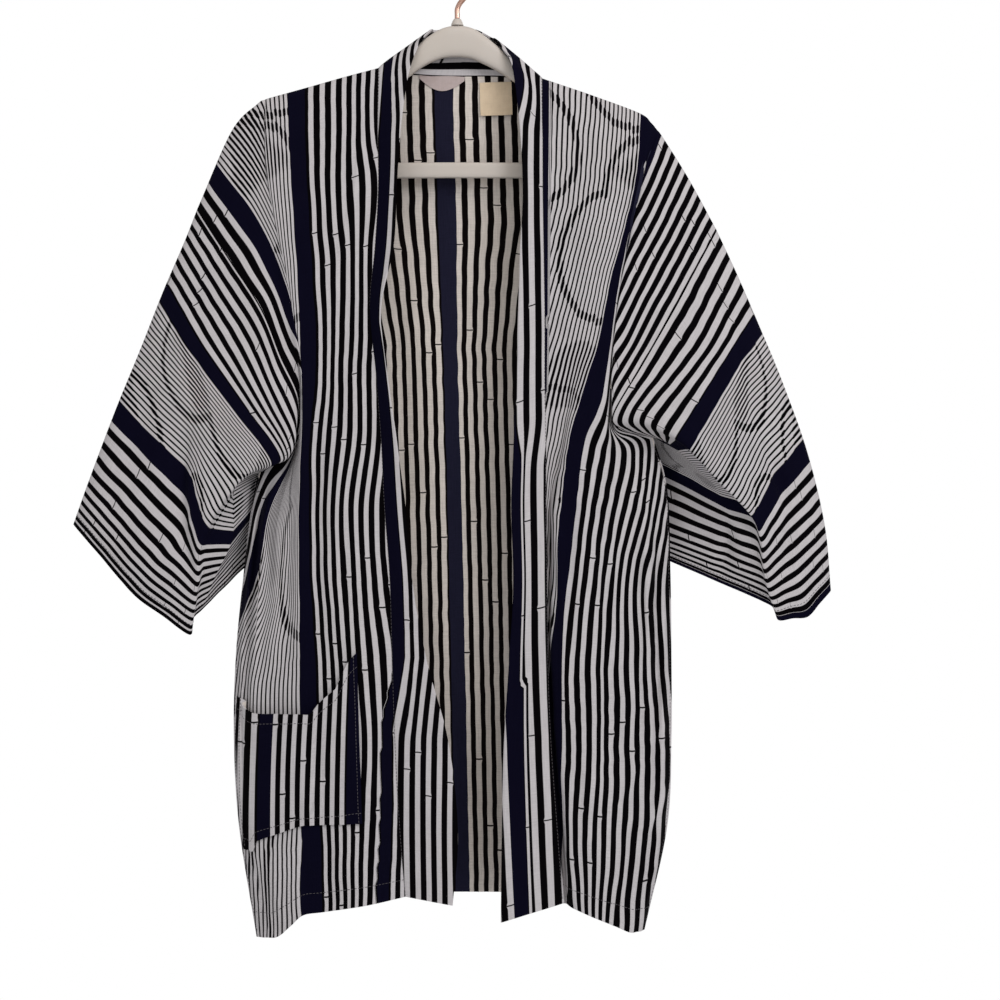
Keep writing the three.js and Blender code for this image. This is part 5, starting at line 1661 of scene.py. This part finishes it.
class HAPPI_OT_stitches(bpy.types.Operator):
    """Sews the hems, cuffs, collar, pocket and side seams"""

    bl_idname = "happi.stitches"
    bl_label = "Stitches"
    bl_options = {"REGISTER", "UNDO"}

    def execute(self, context):
        scene = context.scene
        sheets = sheets_of(context)
        thread = sewing_thread("Sewing thread", scene.happi_colours.thread)
        pocket = sheets["pocket"]
        side = len(ACROSS) - SIDE_SEAM_INSET
        lines = {
            "hem_stitches": [seam_line(sheets[name], row=len(DOWN) - 1 - HEM_INSET)
                             for name in ("front_right", "front_left", "back_panel")],
            "cuff_stitches": [seam_line(sheets[name], column=CUFF_COLUMN)
                              for name in ("sleeve_right", "sleeve_left")],
            "collar_stitches": [seam_line(sheets[name], column=1)
                                for name in ("collar_right", "collar_left")],
            "pocket_stitches": [seam_line(pocket, row=row) for row in POCKET_SEAM_ROWS]
            + [seam_line(pocket, column=column) for column in POCKET_SEAM_COLUMNS],
            "side_stitches": [seam_line(sheets[name], column=side, start=SIDE_SEAM_START)
                              for name in ("front_right", "front_left")],
        }
        for name, seams in lines.items():
            piece = add_stitches(name, seams, thread, scene.happi_sizes)
        return {"FINISHED"}


class HAPPI_OT_hanger(bpy.types.Operator):
    """Makes the moulded hanger and its wire hook"""

    bl_idname = "happi.hanger"
    bl_label = "Hanger"
    bl_options = {"REGISTER", "UNDO"}

    def execute(self, context):
        scene = context.scene
        plastic = moulded_plastic("Hanger plastic", scene.happi_colours.plastic)
        copper = plated_wire("Hook wire", scene.happi_colours.copper)
        for name, rings, material, slot in (
            ("hanger_arms", arm_rings(), plastic, "hanger_plastic"),
            ("hanger_bar", bar_rings(scene.happi_sizes.bar_height / MM), plastic, "hanger_plastic"),
            ("hanger_neck", neck_rings(), plastic, "hanger_plastic"),
            ("hanger_hook", hook_rings(scene.happi_sizes.wire / MM), copper, "hook_metal"),
        ):
            piece = add_sweep(name + "_finished", rings, material)
            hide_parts(name)
        return {"FINISHED"}


def seam_line(sheet, row=None, column=None, start=0):
    """A line of points and normals just above the cloth, along a row or a column."""
    count = sheet.points.shape[1] if row is not None else sheet.points.shape[0]
    run = np.arange(start, count - 1, 0.5)
    rows = np.full_like(run, row, dtype=float) if row is not None else run
    columns = run if row is not None else np.full_like(run, column, dtype=float)
    point, normal = sheet.at(rows, columns)
    return point + normal * THREAD_LIFT, normal


def arm_rings():
    at = np.linspace(0, len(ARM_SECTIONS) - 1, 231)
    x = spline([s["x"] for s in ARM_SECTIONS], at)
    top = spline([s["top"] for s in ARM_SECTIONS], at)
    bottom = spline([s["bottom"] for s in ARM_SECTIONS], at)
    depth = spline([s["halfDepth"] for s in ARM_SECTIONS], at)
    centres = np.stack([x, 0 * x, -(top + bottom) / 2], axis=1)
    wide = np.repeat([[0.0, 1.0, 0.0]], len(x), axis=0)
    upright = np.repeat([[0.0, 0.0, 1.0]], len(x), axis=0)
    return swept(centres, wide, upright, depth, (bottom - top) / 2, 40, 0.62)


def even_line(points, samples):
    """Evenly spaced places on a smooth line through points, and each one's share of its length."""
    points = np.array(points, float)
    knots = np.concatenate([[0], np.cumsum(np.linalg.norm(np.diff(points, axis=0), axis=1) ** 0.5)])
    line = centripetal(points, knots, np.linspace(0, knots[-1], samples))
    run = run_of(line)
    share = np.linspace(0, 1, SWEEP_RINGS)
    return np.stack([np.interp(share * run[-1], run, line[:, k]) for k in range(3)], axis=1), share


def crossings(centres):
    """The two directions across a line that lies in the hanger's plane: aft, and in the plane."""
    along = np.gradient(centres, axis=0)
    along /= np.linalg.norm(along, axis=1, keepdims=True)
    wide = np.repeat([[0.0, 1.0, 0.0]], len(centres), axis=0)
    return wide, np.cross(along, wide)


def bar_rings(height):
    centres, share = even_line([[p["x"], 0, -p["drop"]] for p in BAR_PATH], 1400)
    taper = 0.55 + 0.45 * np.minimum(1, np.minimum(share, 1 - share) / 0.12)
    depth = np.full(len(share), BAR_DEPTH / 2)
    return swept(centres, *crossings(centres), depth, height / 2 * taper, 28, 0.5)


def centripetal(points, knots, at):
    """Catmull-Rom through points with knots spaced by the root of their distance."""
    first = 2 * points[0] - points[1]
    last = 2 * points[-1] - points[-2]
    p = np.concatenate([[first], points, [last]])
    t = np.concatenate([[2 * knots[0] - knots[1]], knots, [2 * knots[-1] - knots[-2]]])
    k = np.clip(np.searchsorted(knots, at, side="right"), 1, len(knots) - 1)
    t0, t1, t2, t3 = (t[k - 1 + n][:, None] for n in range(4))
    p0, p1, p2, p3 = (p[k - 1 + n] for n in range(4))
    x = at[:, None]
    a1 = (t1 - x) / (t1 - t0) * p0 + (x - t0) / (t1 - t0) * p1
    a2 = (t2 - x) / (t2 - t1) * p1 + (x - t1) / (t2 - t1) * p2
    a3 = (t3 - x) / (t3 - t2) * p2 + (x - t2) / (t3 - t2) * p3
    b1 = (t2 - x) / (t2 - t0) * a1 + (x - t0) / (t2 - t0) * a2
    b2 = (t3 - x) / (t3 - t1) * a2 + (x - t1) / (t3 - t1) * a3
    return (t2 - x) / (t2 - t1) * b1 + (x - t1) / (t2 - t1) * b2


def neck_rings():
    """The moulded cone round the foot of the hook."""
    profile = np.array([[3.0, -NECK_TOP_DROP], [3.4, -NECK_TOP_DROP - 0.2], [3.9, -NECK_TOP_DROP - 0.9],
                        [4.4, -NECK_TOP_DROP - 1.8], [5.0, -NECK_TOP_DROP - 3.2],
                        [5.7, -NECK_FOOT_DROP + 1.5], [6.0, -NECK_FOOT_DROP + 0.4],
                        [6.0, -NECK_FOOT_DROP]])
    turn = 2 * np.pi * np.arange(48) / 48
    ring = np.stack([np.cos(turn), np.sin(turn), 0 * turn], axis=1)
    return profile[:, None, :1] * ring[None] + np.array([0, 0, 1.0]) * profile[:, None, 1:]


def hook_rings(wire):
    """A stem, a short sweep sideways and an open arc over the origin."""
    centre = wire / 2 - HOOK_RADIUS
    angle = np.radians(np.linspace(HOOK_OPEN_ANGLE, HOOK_TURN_ANGLE, 25))
    arc = np.stack([HOOK_RADIUS * np.cos(angle), 0 * angle, centre + HOOK_RADIUS * np.sin(angle)], axis=1)
    stem = np.array([[2.5, 0, -41], [0, 0, -47], [0, 0, -52], [0, 0, -NECK_TOP_DROP + 0.3]])
    centres = even_line(np.concatenate([arc, stem]), 1200)[0]
    radius = np.full(len(centres), wire / 2)
    radius[:4] *= [0.55, 0.8, 0.93, 0.99]
    return swept(centres, *crossings(centres), radius, radius, 24, 1.0)


STEPS = (
    HAPPI_OT_stage, HAPPI_OT_fronts, HAPPI_OT_back, HAPPI_OT_sleeves, HAPPI_OT_collar,
    HAPPI_OT_pocket, HAPPI_OT_labels, HAPPI_OT_stitches, HAPPI_OT_hanger,
)


class HAPPI_PT_coat(bpy.types.Panel):
    """Lists the coat's pieces, sizes and colours"""

    bl_idname = "HAPPI_PT_coat"
    bl_label = "Happi Coat"
    bl_space_type = "VIEW_3D"
    bl_region_type = "UI"
    bl_category = "Happi Coat"

    def draw(self, context):
        layout = self.layout
        for step in STEPS:
            layout.operator(step.bl_idname)
        for group in (context.scene.happi_sizes, context.scene.happi_colours):
            box = layout.box()
            for name in group.__annotations__:
                box.prop(group, name)


CLASSES = (HappiSizes, HappiColours, *STEPS, HAPPI_PT_coat)


def register():
    for kind in CLASSES:
        bpy.utils.register_class(kind)
    bpy.types.Scene.happi_sizes = PointerProperty(type=HappiSizes)
    bpy.types.Scene.happi_colours = PointerProperty(type=HappiColours)


def unregister():
    del bpy.types.Scene.happi_colours
    del bpy.types.Scene.happi_sizes
    for kind in reversed(CLASSES):
        bpy.utils.unregister_class(kind)


def main():
    register()
    bpy.ops.happi.stage()
    bpy.ops.happi.fronts()
    bpy.ops.happi.back()
    bpy.ops.happi.sleeves()
    bpy.ops.happi.collar()
    bpy.ops.happi.pocket()
    bpy.ops.happi.labels()
    bpy.ops.happi.stitches()
    bpy.ops.happi.hanger()


if __name__ == "__main__":
    main()
